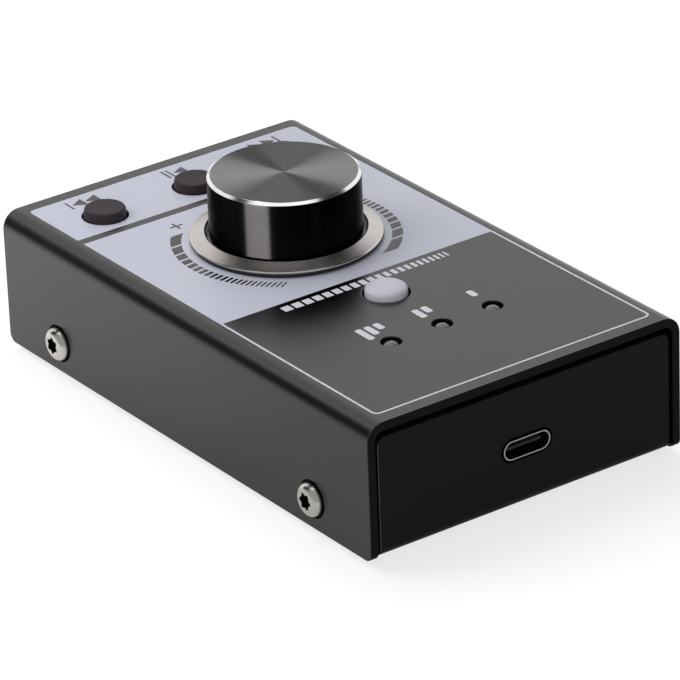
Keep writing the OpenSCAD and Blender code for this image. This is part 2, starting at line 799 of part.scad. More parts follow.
module left_light_spacer() light_spacer(lights_at[0]);
module middle_light_spacer() light_spacer(lights_at[1]);
module right_light_spacer() light_spacer(lights_at[2]);

// Leads of the three lights
module light_leads() {
    color("#d2cfc8") for (l = lights_at, side = [-1, 1])
        translate([l[0] + side * lead_pitch / 2, l[1], 0]) pin(0.5, 0.5, pin_end_z, spacer_top_z);
}

top_cover();
bottom_tray();
case_screws();
clinch_nuts();
front_left_foot();
front_right_foot();
rear_left_foot();
rear_right_foot();
bezel_ring();
knob_shell();
knob_core();
encoder_base();
encoder_bush();
encoder_clip();
encoder_pins();
encoder_rotor();
encoder_shaft();
circuit_board();
board_standoffs();
board_screws();
controller_chip();
crystal();
capacitor();
usb_shell();
usb_tongue();
previous_cap();
play_cap();
next_cap();
mode_cap();
previous_plunger();
play_plunger();
next_plunger();
mode_plunger();
previous_switch();
play_switch();
next_switch();
mode_switch();
switch_pins();
left_light();
middle_light();
right_light();
left_light_spacer();
middle_light_spacer();
right_light_spacer();
light_leads();
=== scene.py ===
"""Desktop volume controller: surfaces, finishes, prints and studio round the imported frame.

Sizes are in millimetres here and turn into metres where a mesh is made. X runs across the box, Y along it
towards the socket, Z up, and the table is at zero. The media buttons are at the front, towards -Y.
"""

import json
import logging
import math
from dataclasses import dataclass, field, replace
from enum import Enum
from typing import Callable, Sequence

import bpy
import numpy as np
from mathutils import Matrix, Vector

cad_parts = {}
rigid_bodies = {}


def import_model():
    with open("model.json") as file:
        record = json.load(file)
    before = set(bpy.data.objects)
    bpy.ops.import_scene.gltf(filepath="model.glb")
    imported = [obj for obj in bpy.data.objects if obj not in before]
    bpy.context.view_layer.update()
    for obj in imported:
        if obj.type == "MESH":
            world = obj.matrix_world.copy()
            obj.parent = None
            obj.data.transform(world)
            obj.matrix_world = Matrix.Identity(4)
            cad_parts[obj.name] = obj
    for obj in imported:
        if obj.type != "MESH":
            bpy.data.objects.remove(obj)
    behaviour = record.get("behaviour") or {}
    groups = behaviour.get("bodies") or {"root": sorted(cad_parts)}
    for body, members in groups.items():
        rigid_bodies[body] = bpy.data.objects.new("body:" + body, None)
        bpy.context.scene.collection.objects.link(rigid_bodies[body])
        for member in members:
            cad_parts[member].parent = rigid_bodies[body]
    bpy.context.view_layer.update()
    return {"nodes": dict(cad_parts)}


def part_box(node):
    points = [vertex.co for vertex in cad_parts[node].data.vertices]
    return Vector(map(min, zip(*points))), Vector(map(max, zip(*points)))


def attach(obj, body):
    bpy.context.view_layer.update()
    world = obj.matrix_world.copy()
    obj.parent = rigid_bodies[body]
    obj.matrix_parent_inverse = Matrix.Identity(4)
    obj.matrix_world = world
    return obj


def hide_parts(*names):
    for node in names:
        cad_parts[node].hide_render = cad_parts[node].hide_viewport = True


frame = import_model()
MM = 0.001
TURN = 2 * math.pi
TINY = 1e-9
SEAM_DECIMALS = 4
log = logging.getLogger("controller")

Pair = tuple[float, float]
Triple = tuple[float, float, float]


# Surfaces

@dataclass
class Shell:
    """Closed surface of four-sided faces, with a UV place and a finish number for each face."""

    points: np.ndarray
    quads: np.ndarray
    uv: np.ndarray
    tint: np.ndarray

    def painted(self, number: int, where: Callable[[np.ndarray], np.ndarray]) -> "Shell":
        """Gives a finish number to some of the faces.

        Args:
            number: the finish, counted in the order in which the piece is dressed.
            where: picks faces by their middles.

        Returns:
            The same shell.
        """
        middles = self.points[self.quads].mean(axis=1)
        self.tint = np.where(where(middles), number, self.tint)
        return self

    def moved(self, turn: np.ndarray, shift: Sequence[float]) -> "Shell":
        """Copy of the shell, turned by a 3x3 matrix and then shifted."""
        return Shell(self.points @ np.asarray(turn, float).T + np.asarray(shift, float),
                     self.quads, self.uv, self.tint)


def joined(shells: Sequence[Shell]) -> Shell:
    """Puts several shells into one.

    Args:
        shells: the shells, each with its own points.

    Returns:
        One shell whose face indices count on from shell to shell.
    """
    starts = np.cumsum([0] + [len(s.points) for s in shells[:-1]])
    return Shell(np.concatenate([s.points for s in shells]),
                 np.concatenate([s.quads + n for s, n in zip(shells, starts)]),
                 np.concatenate([s.uv for s in shells]),
                 np.concatenate([s.tint for s in shells]))


def net(points: np.ndarray, wrap: tuple[bool, bool] = (False, False), u: np.ndarray | None = None,
        v: np.ndarray | None = None) -> Shell:
    """Makes faces over a grid of points.

    Face (i, j) has the corners (i, j), (i, j+1), (i+1, j+1) and (i+1, j). A wrapped direction counts round.

    Args:
        points: array of shape (rows, columns, 3).
        wrap: whether the rows and the columns close on themselves.
        u: UV value of each column line, one more than the columns where they wrap.
        v: UV value of each row line.

    Returns:
        The open or closed grid as a shell.
    """
    rows, cols = points.shape[:2]
    i, j = np.meshgrid(np.arange(rows - 1 + wrap[0]), np.arange(cols - 1 + wrap[1]), indexing="ij")
    i, j = i.ravel(), j.ravel()
    corners = [(i, j), (i, j + 1), (i + 1, j + 1), (i + 1, j)]
    quads = np.stack([(a % rows) * cols + b % cols for a, b in corners], axis=1)
    u = np.arange(cols + 1) / cols if u is None else u
    v = np.arange(rows + 1) / rows if v is None else v
    uv = np.stack([np.stack([u[b], v[a]], axis=1) for a, b in corners], axis=1)
    return Shell(points.reshape(-1, 3), quads, uv, np.zeros(len(quads), int))


def eased(corners: Sequence[Triple], steps: int = 4) -> np.ndarray:
    """Softens the corners of a profile.

    Each corner C becomes the curve (1-t)^2 A + 2t(1-t) C + t^2 B, where A and B lie on the corner's two sides
    at the set distance from it. The first and last corner of an open profile have the distance zero.

    Args:
        corners: (across, up, distance) for each corner.
        steps: number of pieces in each curve.

    Returns:
        Array of points (across, up).
    """
    data = np.array(corners, float)
    at, reach = data[:, :2], data[:, 2:]
    towards = [np.roll(at, k, axis=0) - at for k in (1, -1)]
    a, b = (at + d / np.maximum(np.linalg.norm(d, axis=1, keepdims=True), TINY) * reach for d in towards)
    t = np.linspace(0, 1, steps + 1)[None, :, None]
    curve = (1 - t) ** 2 * a[:, None] + 2 * t * (1 - t) * at[:, None] + t ** 2 * b[:, None]
    return curve.reshape(-1, 2)


def turned(profile: np.ndarray, axis: Triple = (0, 0, 0), closed: bool = False, segments: int = 128) -> Shell:
    """Turns a profile round an upright axis.

    Point (r, z) goes to (x0 + r cos a, y0 + r sin a, z0 + z). U is the share of the turn and V the length
    along the profile in millimetres, so a pattern over V follows the tool.

    Args:
        profile: points (r, z), from pole to pole, or once round a ring's section.
        axis: foot of the axis.
        closed: whether the last point joins the first.
        segments: number of faces round the axis.

    Returns:
        The turned shell.
    """
    angle = np.arange(segments) * TURN / segments
    r, z = profile[:, :1], profile[:, 1:]
    points = np.stack([r * np.cos(angle), r * np.sin(angle), np.broadcast_to(z, (len(r), segments))], axis=2)
    steps = np.linalg.norm(np.diff(profile, axis=0, append=profile[:1]), axis=1)
    return net(points + np.array(axis, float), (closed, True), v=np.concatenate([[0], np.cumsum(steps)]))


def border(grid: np.ndarray) -> np.ndarray:
    """Places once round a grid: along its first row, its last column, its last row and its first column."""
    return np.concatenate([grid[0, :-1], grid[:-1, -1], grid[-1, :0:-1], grid[:0:-1, 0]])


def slab(top: np.ndarray, low: float, high: float) -> Shell:
    """Gives a flat grid of places a thickness.

    The grid lies at the heights `low` and `high`, and its outline joins the two.

    Args:
        top: array of shape (rows, columns, 2).
        low: height of the lower face.
        high: height of the upper face.

    Returns:
        A closed thin plate.
    """
    rows, cols = top.shape[:2]
    faces = [np.dstack([top, np.full((rows, cols), z)]) for z in (low, high)]
    edge = border(faces[0])
    rim = np.stack([edge, edge + [0, 0, high - low]])
    return joined([net(faces[0][:, ::-1]), net(faces[1]), net(rim, (False, True))])


def stadium(width: float, height: float, count: int = 96) -> tuple[np.ndarray, np.ndarray]:
    """Outline of a slot with half-round ends, and the directions that point out of it.

    Angle a runs once round: the direction is (cos a, sin a), and the place is that direction times half the
    height, moved along by half the straight length towards the side that the direction looks to.

    Args:
        width: overall width.
        height: overall height.
        count: number of points.

    Returns:
        Places and directions, each an array of shape (count, 2).
    """
    a = (np.arange(count) + 0.5) * TURN / count
    out = np.stack([np.cos(a), np.sin(a)], axis=1)
    shift = np.sign(out[:, 0]) * (width - height) / 2
    return out * height / 2 + np.stack([shift, np.zeros(count)], axis=1), out


def finished(parts: Sequence[Shell]) -> tuple[np.ndarray, list, np.ndarray, np.ndarray, np.ndarray]:
    """Closes seams and poles and points every face outwards.

    Points that agree to 0.1 micrometre become one. A face with two corners in one place turns into a
    triangle, and a shell whose signed volume is negative is turned over. A point's normal is the sum of its
    faces' normals times their areas, so a large flat face stays flat beside a small rounded edge.

    Args:
        parts: closed shells.

    Returns:
        Points, faces, UV per corner, finish number per face and normals per point.
    """
    pieces = []
    for part in parts:
        corner = part.points[part.quads]
        half = np.cross(corner[:, 1] - corner[:, 0], corner[:, 2] - corner[:, 0])
        rest = np.cross(corner[:, 2] - corner[:, 0], corner[:, 3] - corner[:, 0])
        if np.sum(corner[:, 0] * (half + rest)) < 0:
            part = Shell(part.points, part.quads[:, ::-1], part.uv[:, ::-1], part.tint)
        pieces.append(part)
    whole = joined(pieces)
    rounded = np.round(whole.points, SEAM_DECIMALS)
    _, first, place = np.unique(rounded, axis=0, return_index=True, return_inverse=True)
    points, quads = whole.points[first], place.reshape(-1)[whole.quads]
    same = quads == np.roll(quads, -1, axis=1)
    whole_faces, three = same.sum(axis=1) == 0, same.sum(axis=1) == 1
    kept = (same[three].argmax(axis=1)[:, None] + np.array([1, 2, 3])) % 4
    tris, tri_uv = (np.take_along_axis(quads[three], kept, 1),
                    np.take_along_axis(whole.uv[three], kept[:, :, None], 1))
    normals = np.zeros_like(points)
    for faces in (quads[whole_faces], tris):
        corner = points[faces]
        area = np.cross(corner[:, 2] - corner[:, 0], corner[:, -1] - corner[:, 1])
        np.add.at(normals, faces, np.repeat(area[:, None], faces.shape[1], axis=1))
    normals /= np.maximum(np.linalg.norm(normals, axis=1, keepdims=True), TINY)
    uv = np.concatenate([whole.uv[whole_faces].reshape(-1, 2), tri_uv.reshape(-1, 2)])
    tint = np.concatenate([whole.tint[whole_faces], whole.tint[three]])
    return points, quads[whole_faces].tolist() + tris.tolist(), uv, tint, normals


def placed(name: str, data: bpy.types.ID) -> bpy.types.Object:
    """Makes an object and puts it in the scene.

    Args:
        name: name of the object.
        data: its mesh, light or camera.

    Returns:
        The new object, at the origin.
    """
    made = bpy.data.objects.new(name, data)
    bpy.context.scene.collection.objects.link(made)
    return made


def piece(name: str, shells: Sequence[Shell], body: str, stands_for: Sequence[str] = ()) -> bpy.types.Object:
    """Makes a visible piece that moves with a CAD body.

    Args:
        name: name of the object.
        shells: its closed surfaces, in millimetres.
        body: CAD body that carries it.
        stands_for: CAD nodes that it hides.

    Returns:
        The new object, at the origin.
    """
    points, faces, uv, tint, normals = finished(shells)
    mesh = bpy.data.meshes.new(name)
    mesh.from_pydata(points * MM, [], faces)
    mesh.uv_layers.new(name="UVMap").data.foreach_set("uv", uv.ravel().astype(np.float32))
    mesh.polygons.foreach_set("use_smooth", np.ones(len(faces), bool))
    mesh.polygons.foreach_set("material_index", tint.astype(np.int32))
    mesh.normals_split_custom_set_from_vertices(normals.tolist())
    made = placed(name, mesh)
    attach(made, body)
    if stands_for:
        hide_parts(*stands_for)
    return made


@dataclass(frozen=True)
class Opening:
    """Hole through a sheet, round or a slot along U, with a shallow round seat where one is set.

    The margin is the width of the rings round the hole, the apron that of their innermost ring in edge radii,
    and `half` is half the straight length of a slot.
    """

    u: float
    v: float
    radius: float
    margin: float
    half: float = 0
    seat_radius: float = 0
    seat_depth: float = 0
    apron: float = 4

    def block(self) -> tuple[float, float, float, float]:
        """Rectangle of the blank, from U to U and from V to V, that gives way to the hole's rings."""
        reach = self.radius + self.margin
        return self.u - self.half - reach, self.u + self.half + reach, self.v - reach, self.v + reach

    def section(self, thickness: float, edge: float) -> np.ndarray:
        """Radius and depth along the hole's wall, from the outer face to the inner one.

        Args:
            thickness: thickness of the sheet.
            edge: radius of the eased edges.

        Returns:
            Array of (radius, depth).
        """
        apron = self.apron * edge
        corners = [(self.radius + apron, 0, 0), (self.radius, 0, edge)]
        if self.seat_radius:
            corners = [(self.seat_radius + apron, 0, 0), (self.seat_radius, 0, edge),
                       (self.seat_radius, self.seat_depth, edge), (self.radius, self.seat_depth, edge)]
        return eased(corners + [(self.radius, thickness, edge), (self.radius + apron, thickness, 0)], 3)


@dataclass(frozen=True)
class Blank:
    """Flat blank of a sheet, with round corners, eased edges and openings, that a fold then bends.

    The pitch is the width of a face round the openings, and `bright` the share of the outer eased edge that
    keeps the finish of the outer face. The rest of that edge, the cut faces and the hole walls take the
    second finish, which on the cover and the tray is painted shade.
    """

    half_u: float
    half_v: float
    thickness: float
    edge: float
    corner_front: float
    corner_rear: float
    openings: tuple[Opening, ...] = ()
    bends_u: tuple[Pair, ...] = ()
    bends_v: tuple[Pair, ...] = ()
    pitch: float = 0.5
    corner_steps: int = 6
    bend_steps: int = 12
    bright: float = 0.45

    def lines(self, half: float, spans: Sequence[Pair], bends: Sequence[Pair]) -> np.ndarray:
        """Lines of the blank's grid in one direction, without those that nearly lie on another.

        Args:
            half: half the blank's size in this direction.
            spans: ranges that need the pitch, round the openings.
            bends: ranges of the bends.

        Returns:
            The lines in rising order.
        """
        corner = max(self.corner_front, self.corner_rear)
        parts = [np.array([0.0])]
        parts += [side * (half - c * np.linspace(0, 1, self.corner_steps + 1)) for side in (-1, 1)
                  for c in {self.corner_front, self.corner_rear}]
        parts += [np.linspace(a, b, max(2, round((b - a) / self.pitch) + 1)) for a, b in spans]
        parts += [np.linspace(a, b, self.bend_steps + 1) for a, b in bends]
        every = np.unique(np.round(np.concatenate(parts), 6))
        return every[np.concatenate([[True], np.diff(every) > corner / 1000])]

    def settle(self, u: np.ndarray, v: np.ndarray, inset: float) -> tuple[np.ndarray, np.ndarray]:
        """Draws the blank's corners round and its outline in by `inset`.

        Within a corner's square, whose two sides run from 0 to 1, x goes to x sqrt(1 - y^2/2) and y to
        y sqrt(1 - x^2/2), which lays the square on a quarter disc.

        Args:
            u: places across.
            v: places along.
            inset: distance from the blank's outline to the grid's edge.

        Returns:
            The new places.
        """
        r = np.where(v < 0, self.corner_front, self.corner_rear)
        cu, cv = self.half_u - r, self.half_v - r
        x, y = np.clip(np.abs(u) - cu, 0, r) / r, np.clip(np.abs(v) - cv, 0, r) / r
        return (np.sign(u) * (np.minimum(np.abs(u), cu) + x * np.sqrt(1 - y * y / 2) * (r - inset)),
                np.sign(v) * (np.minimum(np.abs(v), cv) + y * np.sqrt(1 - x * x / 2) * (r - inset)))

    def shell(self, fold: Callable[[np.ndarray, np.ndarray, np.ndarray], np.ndarray]) -> Shell:
        """Makes the closed sheet and folds it.

        The outer and inner face are the same grid at the depths 0 and the thickness. Rings join them along
        the outline and through every opening. A ring's point lies at the section's radius from the opening's
        middle line, in the direction of the block's own point.

        Args:
            fold: gives the point in space for a place on the blank and a depth under its outer face.

        Returns:
            The folded sheet.
        """
        blocks = [o.block() for o in self.openings]
        us = self.lines(self.half_u, [b[:2] for b in blocks], self.bends_u)
        vs = self.lines(self.half_v, [b[2:] for b in blocks], self.bends_v)
        uu, vv = np.meshgrid(us, vs, indexing="ij")
        mid_u, mid_v = np.meshgrid((us[:-1] + us[1:]) / 2, (vs[:-1] + vs[1:]) / 2, indexing="ij")
        keep = np.ones(mid_u.shape, bool)
        for a, b, c, d in blocks:
            keep &= ~((mid_u > a) & (mid_u < b) & (mid_v > c) & (mid_v < d))
        wide, long = self.settle(uu, vv, self.edge)
        shells = []
        for depth in (0.0, self.thickness):
            face = net(fold(wide, long, np.full(wide.shape, depth)))
            chosen = keep.ravel()
            quads = face.quads[chosen] if depth else face.quads[chosen][:, ::-1]
            shells.append(Shell(face.points, quads, face.uv[chosen], face.tint[chosen]))
        shells.append(self.rim(us, vs, fold))
        shells += [self.ring(o, us, vs, fold) for o in self.openings]
        return joined(shells)

    def rim(self, us: np.ndarray, vs: np.ndarray, fold: Callable) -> Shell:
        """Strip along the outline, from the outer face over the eased edges to the inner face.

        Args:
            us: lines across.
            vs: lines along.
            fold: as in `shell`.

        Returns:
            The strip, closed round the outline.
        """
        u, v = border(np.stack(np.meshgrid(us, vs), axis=-1)).T
        section = eased([(self.edge, 0, 0), (0, 0, self.edge), (0, self.thickness, self.edge),
                         (self.edge, self.thickness, 0)], 3)
        rows = [fold(*self.settle(u, v, inset), np.full(u.shape, depth)) for inset, depth in section]
        return self.cut(net(np.stack(rows), (False, True)), section[:, 1])

    def cut(self, strip: Shell, depth: np.ndarray) -> Shell:
        """Gives the second finish, painted shade on the cover and the tray, to a strip's faces, from within
        its outer eased edge to the inner face.

        Args:
            strip: rows of faces from the outer face to the inner one.
            depth: depth under the outer face of each row's line.

        Returns:
            The same strip.
        """
        middle = (depth[:-1] + depth[1:]) / 2
        inside = (middle > self.edge * self.bright) & (middle < self.thickness)
        strip.tint = np.repeat(inside.astype(int), len(strip.quads) // len(middle))
        return strip

    def ring(self, hole: Opening, us: np.ndarray, vs: np.ndarray, fold: Callable) -> Shell:
        """Rings of one opening, from its block on the outer face through the wall to the inner face.

        Args:
            hole: the opening.
            us: lines across.
            vs: lines along.
            fold: as in `shell`.

        Returns:
            The rings, closed round the opening.
        """
        a, b, c, d = hole.block()
        hair = 1e-5
        us, vs = us[(us > a - hair) & (us < b + hair)], vs[(vs > c - hair) & (vs < d + hair)]
        u, v = border(np.stack(np.meshgrid(us, vs), axis=-1)).T
        spine = hole.u + np.clip(u - hole.u, -hole.half, hole.half)
        out = np.stack([u - spine, v - hole.v])
        out /= np.linalg.norm(out, axis=0)
        section = hole.section(self.thickness, self.edge)
        wall = [(spine + out[0] * r, hole.v + out[1] * r, w) for r, w in section]
        rows = [(u, v, 0.0)] + wall + [(u, v, self.thickness)]
        strip = net(np.stack([fold(x, y, np.full(u.shape, w)) for x, y, w in rows]), (False, True))
        return self.cut(strip, np.array([w for _, _, w in rows]))


# Finishes

def linear(code: str) -> tuple[float, float, float, float]:
    """Turns a colour code into the linear values that a shader takes.

    Args:
        code: colour such as #5a5b5d.

    Returns:
        Red, green, blue and a full alpha.
    """
    parts = [int(code[i:i + 2], 16) / 255 for i in (1, 3, 5)]
    red, green, blue = (p / 12.92 if p <= 0.04045 else ((p + 0.055) / 1.055) ** 2.4 for p in parts)
    return red, green, blue, 1.0


class Graph:
    """Small helper that adds nodes to a tree and joins them."""

    def __init__(self, tree: bpy.types.NodeTree) -> None:
        """Starts with an empty tree."""
        self.tree = tree
        tree.nodes.clear()

    def add(self, kind: str, settings: dict | None = None, **inputs: object) -> bpy.types.Node:
        """Adds a node.

        Args:
            kind: node type without the "ShaderNode" at its front.
            settings: properties of the node itself.
            inputs: value or output socket for each input, where "_" in a name stands for a space.

        Returns:
            The new node.
        """
        node = self.tree.nodes.new("ShaderNode" + kind)
        for key, value in (settings or {}).items():
            setattr(node, key, value)
        for key, value in inputs.items():
            socket = node.inputs[int(key[1:])] if key[1:].isdigit() else node.inputs[key.replace("_", " ")]
            if isinstance(value, bpy.types.NodeSocket):
                self.tree.links.new(value, socket)
            else:
                socket.default_value = value
        return node

    def math(self, how: str, *values: object) -> bpy.types.NodeSocket:
        """Adds a math node and gives its output."""
        inputs = {f"n{i}": value for i, value in enumerate(values)}
        return self.add("Math", {"operation": how}, **inputs).outputs[0]

    def rays(self) -> tuple[bpy.types.NodeSocket, bpy.types.NodeSocket]:
        """Adds the shares of camera rays, and of rays that come by way of gloss or clear matter."""
        path = self.add("LightPath").outputs
        return path["Is Camera Ray"], self.math("MAXIMUM", path["Is Glossy Ray"], path["Is Transmission Ray"])


class Grain(Enum):
    """What breaks up the light on a finish when it is seen close."""

    SPRAYED = "fine bumps of a sprayed or blasted coat"
    TURNED = "lines that a tool leaves round an axis"
    MOULDED = "soft texture of a mould"
    WOVEN = "glass cloth under a lacquer"
    ROLLED = "long faint streaks of rolled strip"


@dataclass(frozen=True)
class Finish:
    """One material: its colour, gloss, and the grain that varies both, with sizes in millimetres."""

    name: str
    colour: str
    roughness: float
    metallic: float = 0.0
    grain: Grain = Grain.MOULDED
    grain_size: float = 0.25
    grain_depth: float = 0.004
    rough_spread: float = 0.06
    colour_spread: float = 0.08
    patch_size: float = 9.0
    specular: float = 0.5
    anisotropy: float = 0.0
    transmission: float = 0.0
    coat: float = 0.0
    rim: float = 1.0

    def height(self, graph: Graph) -> bpy.types.NodeSocket:
        """Adds the height of the grain.

        Args:
            graph: the material's nodes.

        Returns:
            Noise or waves over the object or, on turned work, noise over the length along the profile.
        """
        size = self.grain_size * MM
        if self.grain is Grain.TURNED:
            uv = graph.add("UVMap", {"uv_map": "UVMap"}).outputs["UV"]
            along = graph.add("SeparateXYZ", Vector=uv).outputs["Y"]
            lines = graph.math("MULTIPLY", along, 1 / self.grain_size)
            noise = graph.add("TexNoise", {"noise_dimensions": "1D"}, W=lines, Detail=4.0, Roughness=0.65)
            return noise.outputs[0]
        where = graph.add("TexCoord").outputs["Object"]
        if self.grain is Grain.WOVEN:
            waves = [graph.add("TexWave", {"bands_direction": d, "wave_profile": "SIN"}, Vector=where,
                               Scale=0.3 / size, Distortion=0.4, Detail=1.0).outputs["Fac"] for d in "XY"]
            return graph.math("MAXIMUM", *waves)
        stretch = (1.0, 0.05, 1.0) if self.grain is Grain.ROLLED else (1.0, 1.0, 1.0)
        laid = graph.add("Mapping", Vector=where, Scale=stretch).outputs[0]
        detail = 4.0 if self.grain is Grain.SPRAYED else 2.0
        return graph.add("TexNoise", Vector=laid, Scale=1 / size, Detail=detail, Roughness=0.6).outputs[0]

    def material(self) -> bpy.types.Material:
        """Builds the material, once for each name.

        Returns:
            A material whose colour and roughness drift over broad patches, with a grain that lifts it.
        """
        label = f"{self.name}_finish"
        found = bpy.data.materials.get(label)
        if found:
            return found
        made = bpy.data.materials.new(label)
        made.use_nodes = True
        graph = Graph(made.node_tree)
        where = graph.add("TexCoord").outputs["Object"]
        patch = graph.add("TexNoise", Vector=where, Scale=1 / (self.patch_size * MM), Detail=3.0).outputs[0]
        height = self.height(graph)
        colour_low, colour_high = 1 - self.colour_spread, 1 + self.colour_spread
        drift = graph.add("MapRange", Value=patch, To_Min=colour_low, To_Max=colour_high).outputs[0]
        tinted = graph.add("VectorMath", {"operation": "SCALE"}, n0=linear(self.colour)[:3],
                           Scale=drift).outputs[0]
        patch_share, noise_low, noise_high = 0.6, 0.3, 0.7
        both = graph.math("ADD", graph.math("MULTIPLY", patch, patch_share),
                          graph.math("MULTIPLY", height, 1 - patch_share))
        rough = graph.add("MapRange", Value=both, From_Min=noise_low, From_Max=noise_high,
                          To_Min=self.roughness - self.rough_spread,
                          To_Max=self.roughness + self.rough_spread)
        bump = graph.add("Bump", Strength=1.0, Distance=self.grain_depth * MM, Height=height).outputs[0]
        shader = graph.add("BsdfPrincipled", Base_Color=tinted, Roughness=rough.outputs[0], Normal=bump,
                           Metallic=self.metallic)
        for socket, value in (("Specular IOR Level", self.specular), ("Anisotropic", self.anisotropy),
                              ("Transmission Weight", self.transmission), ("Coat Weight", self.coat)):
            shader.inputs[socket].default_value = value
        shader.inputs["Specular Tint"].default_value = (self.rim, self.rim, self.rim, 1)
        if self.anisotropy:
            quarter_turn = 0.25
            tangent = graph.add("Tangent", {"direction_type": "UV_MAP", "uv_map": "UVMap"}).outputs[0]
            shader.inputs["Anisotropic Rotation"].default_value = quarter_turn
            graph.tree.links.new(tangent, shader.inputs["Tangent"])
        graph.add("OutputMaterial", Surface=shader.outputs[0])
        return made


# In order: colour, roughness, metallic, grain, its size and depth, spread of roughness and of colour
COVER_METAL = Finish("cover_metal", "#555354", 0.26, 1.0, Grain.ROLLED, 0.16, 0.0012, 0.02, 0.03)
# Painted shade: flat black without the coat's sheen, for cut edges, seats, hole walls and eased edges
CUT_EDGE_SHADE = Finish("cut_edge", "#0b0b0c", 0.5, 0.0, Grain.ROLLED, 0.1, 0.004, 0.06, 0.1, specular=0.1)
# Painted highlight: a pale metal strip along one eased edge of the tray, standing in for light it catches
EDGE_HIGHLIGHT = Finish("worn_edge", "#6f6e70", 0.34, 1.0, Grain.ROLLED, 0.1, 0.001, 0.05, 0.1)
TRAY_METAL = Finish("tray_metal", "#121213", 0.36, 0.0, Grain.SPRAYED, 0.2, 0.003, 0.05, 0.08, specular=0.1)
RING_STEEL = Finish("ring_steel", "#cdc7c4", 0.34, 1.0, Grain.TURNED, 0.4, 0.0006, 0.06, 0.2,
                    patch_size=2.5, anisotropy=0.6)
RING_POLISH = Finish("ring_polish", "#cfccc9", 0.14, 1.0, Grain.TURNED, 0.05, 0.0003, 0.03, 0.02)
KNOB_FACE = Finish("knob_face", "#8f8d8f", 0.43, 1.0, Grain.TURNED, 0.3, 0.0008, 0.03, 0.03, anisotropy=1.0)
KNOB_SIDE = Finish("knob_side", "#151415", 0.21, 1.0, Grain.TURNED, 0.3, 0.0004, 0.01, 0.06, anisotropy=1.0,
                   rim=0.5)
KNOB_CUT = Finish("knob_cut", "#eeeeee", 0.15, 1.0, Grain.TURNED, 0.04, 0.0004, 0.04, 0.02)
MEDIA_RUBBER = Finish("media_cap", "#312b30", 0.55, 0.0, Grain.MOULDED, 0.12, 0.004, 0.05, 0.06,
                      specular=0.22)
MODE_PLASTIC = Finish("mode_cap", "#b9b9c2", 0.42, 0.0, Grain.MOULDED, 0.1, 0.001, 0.04, 0.02, coat=0.2)
LENS = Finish("light_lens", "#9c9c9e", 0.12, 0.0, Grain.MOULDED, 0.4, 0.002, 0.02, 0.01, transmission=0.5)
PRINT_PALE = Finish("print_pale", "#bdbfcd", 0.42, 0.0, Grain.SPRAYED, 0.14, 0.002, 0.05, 0.03)
PRINT_LINE = Finish("print_line", "#cfcdd6", 0.45, 0.0, Grain.SPRAYED, 0.14, 0.002, 0.05, 0.03)
# Painted shade: dark metal inside the screws' recesses, darker than the plated heads
SCREW_RECESS_SHADE = Finish("screw_recess", "#24211f", 0.45, 1.0, Grain.SPRAYED, 0.1, 0.002, 0.08, 0.06)
SCREW_NICKEL = Finish("screw_nickel", "#d6d2cd", 0.22, 1.0, Grain.TURNED, 0.08, 0.0005, 0.08, 0.04)
NUT_STEEL = Finish("nut_steel", "#b3b3b0", 0.34, 1.0, Grain.SPRAYED, 0.3, 0.002, 0.08, 0.06)
FOOT_RUBBER = Finish("foot_rubber", "#1d1d1e", 0.72, 0.0, Grain.MOULDED, 0.3, 0.012, 0.08, 0.12,
                     specular=0.35)
SOCKET_STEEL = Finish("socket_steel", "#c9c9c7", 0.24, 1.0, Grain.ROLLED, 0.12, 0.0015, 0.06, 0.04)
BLACK_MOULDING = Finish("black_moulding", "#151516", 0.45, 0.0, Grain.MOULDED, 0.15, 0.003, 0.06, 0.1)
GREY_MOULDING = Finish("grey_moulding", "#2c2d2f", 0.5, 0.0, Grain.MOULDED, 0.2, 0.004, 0.06, 0.1)
WHITE_NYLON = Finish("white_nylon", "#d9d8d2", 0.45, 0.0, Grain.MOULDED, 0.25, 0.003, 0.06, 0.04)
CAST_ZINC = Finish("cast_zinc", "#a3a5a7", 0.45, 1.0, Grain.SPRAYED, 0.35, 0.006, 0.08, 0.06)
TURNED_STEEL = Finish("turned_steel", "#b9bbbd", 0.3, 1.0, Grain.SPRAYED, 0.2, 0.002, 0.06, 0.05)
BRASS = Finish("brass", "#c39a45", 0.3, 1.0, Grain.SPRAYED, 0.25, 0.002, 0.08, 0.08)
TINNED = Finish("tinned", "#cfcdc8", 0.35, 1.0, Grain.SPRAYED, 0.2, 0.002, 0.1, 0.05)
GOLD_CONTACT = Finish("gold_contact", "#caa75a", 0.28, 1.0, Grain.ROLLED, 0.1, 0.001, 0.05, 0.05)
LAMINATE = Finish("laminate", "#1d5232", 0.32, 0.0, Grain.WOVEN, 0.35, 0.004, 0.05, 0.12, coat=0.4)
CRYSTAL_CAN = Finish("crystal_can", "#c2c4c6", 0.2, 1.0, Grain.ROLLED, 0.3, 0.002, 0.05, 0.04)
CAPACITOR_CAN = Finish("capacitor_can", "#9a9da1", 0.25, 1.0, Grain.ROLLED, 0.2, 0.002, 0.06, 0.05)


def dress(target: bpy.types.Object, slot: str, *finishes: Finish) -> None:
    """Puts finishes on a piece, in the order of its faces' numbers.

    Args:
        target: a new piece or a CAD node's object.
        slot: the record's material slot for a new piece, or "" on a CAD node; only whether it is empty is
            read.
        finishes: the finishes.
    """
    if slot:
        for finish in finishes:
            target.data.materials.append(finish.material())
        return
    for place in target.material_slots:
        place.material = finishes[0].material()


# Sub-assemblies

MEDIA_CAPS = ("previous_cap", "play_cap", "next_cap")
LIGHTS = ("left_light", "middle_light", "right_light")
FEET = ("front_left_foot", "front_right_foot", "rear_left_foot", "rear_right_foot")


def span(node: str) -> tuple[np.ndarray, np.ndarray]:
    """Lowest and highest corner of a CAD node at rest, in millimetres."""
    low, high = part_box(node)
    return np.array(low) / MM, np.array(high) / MM


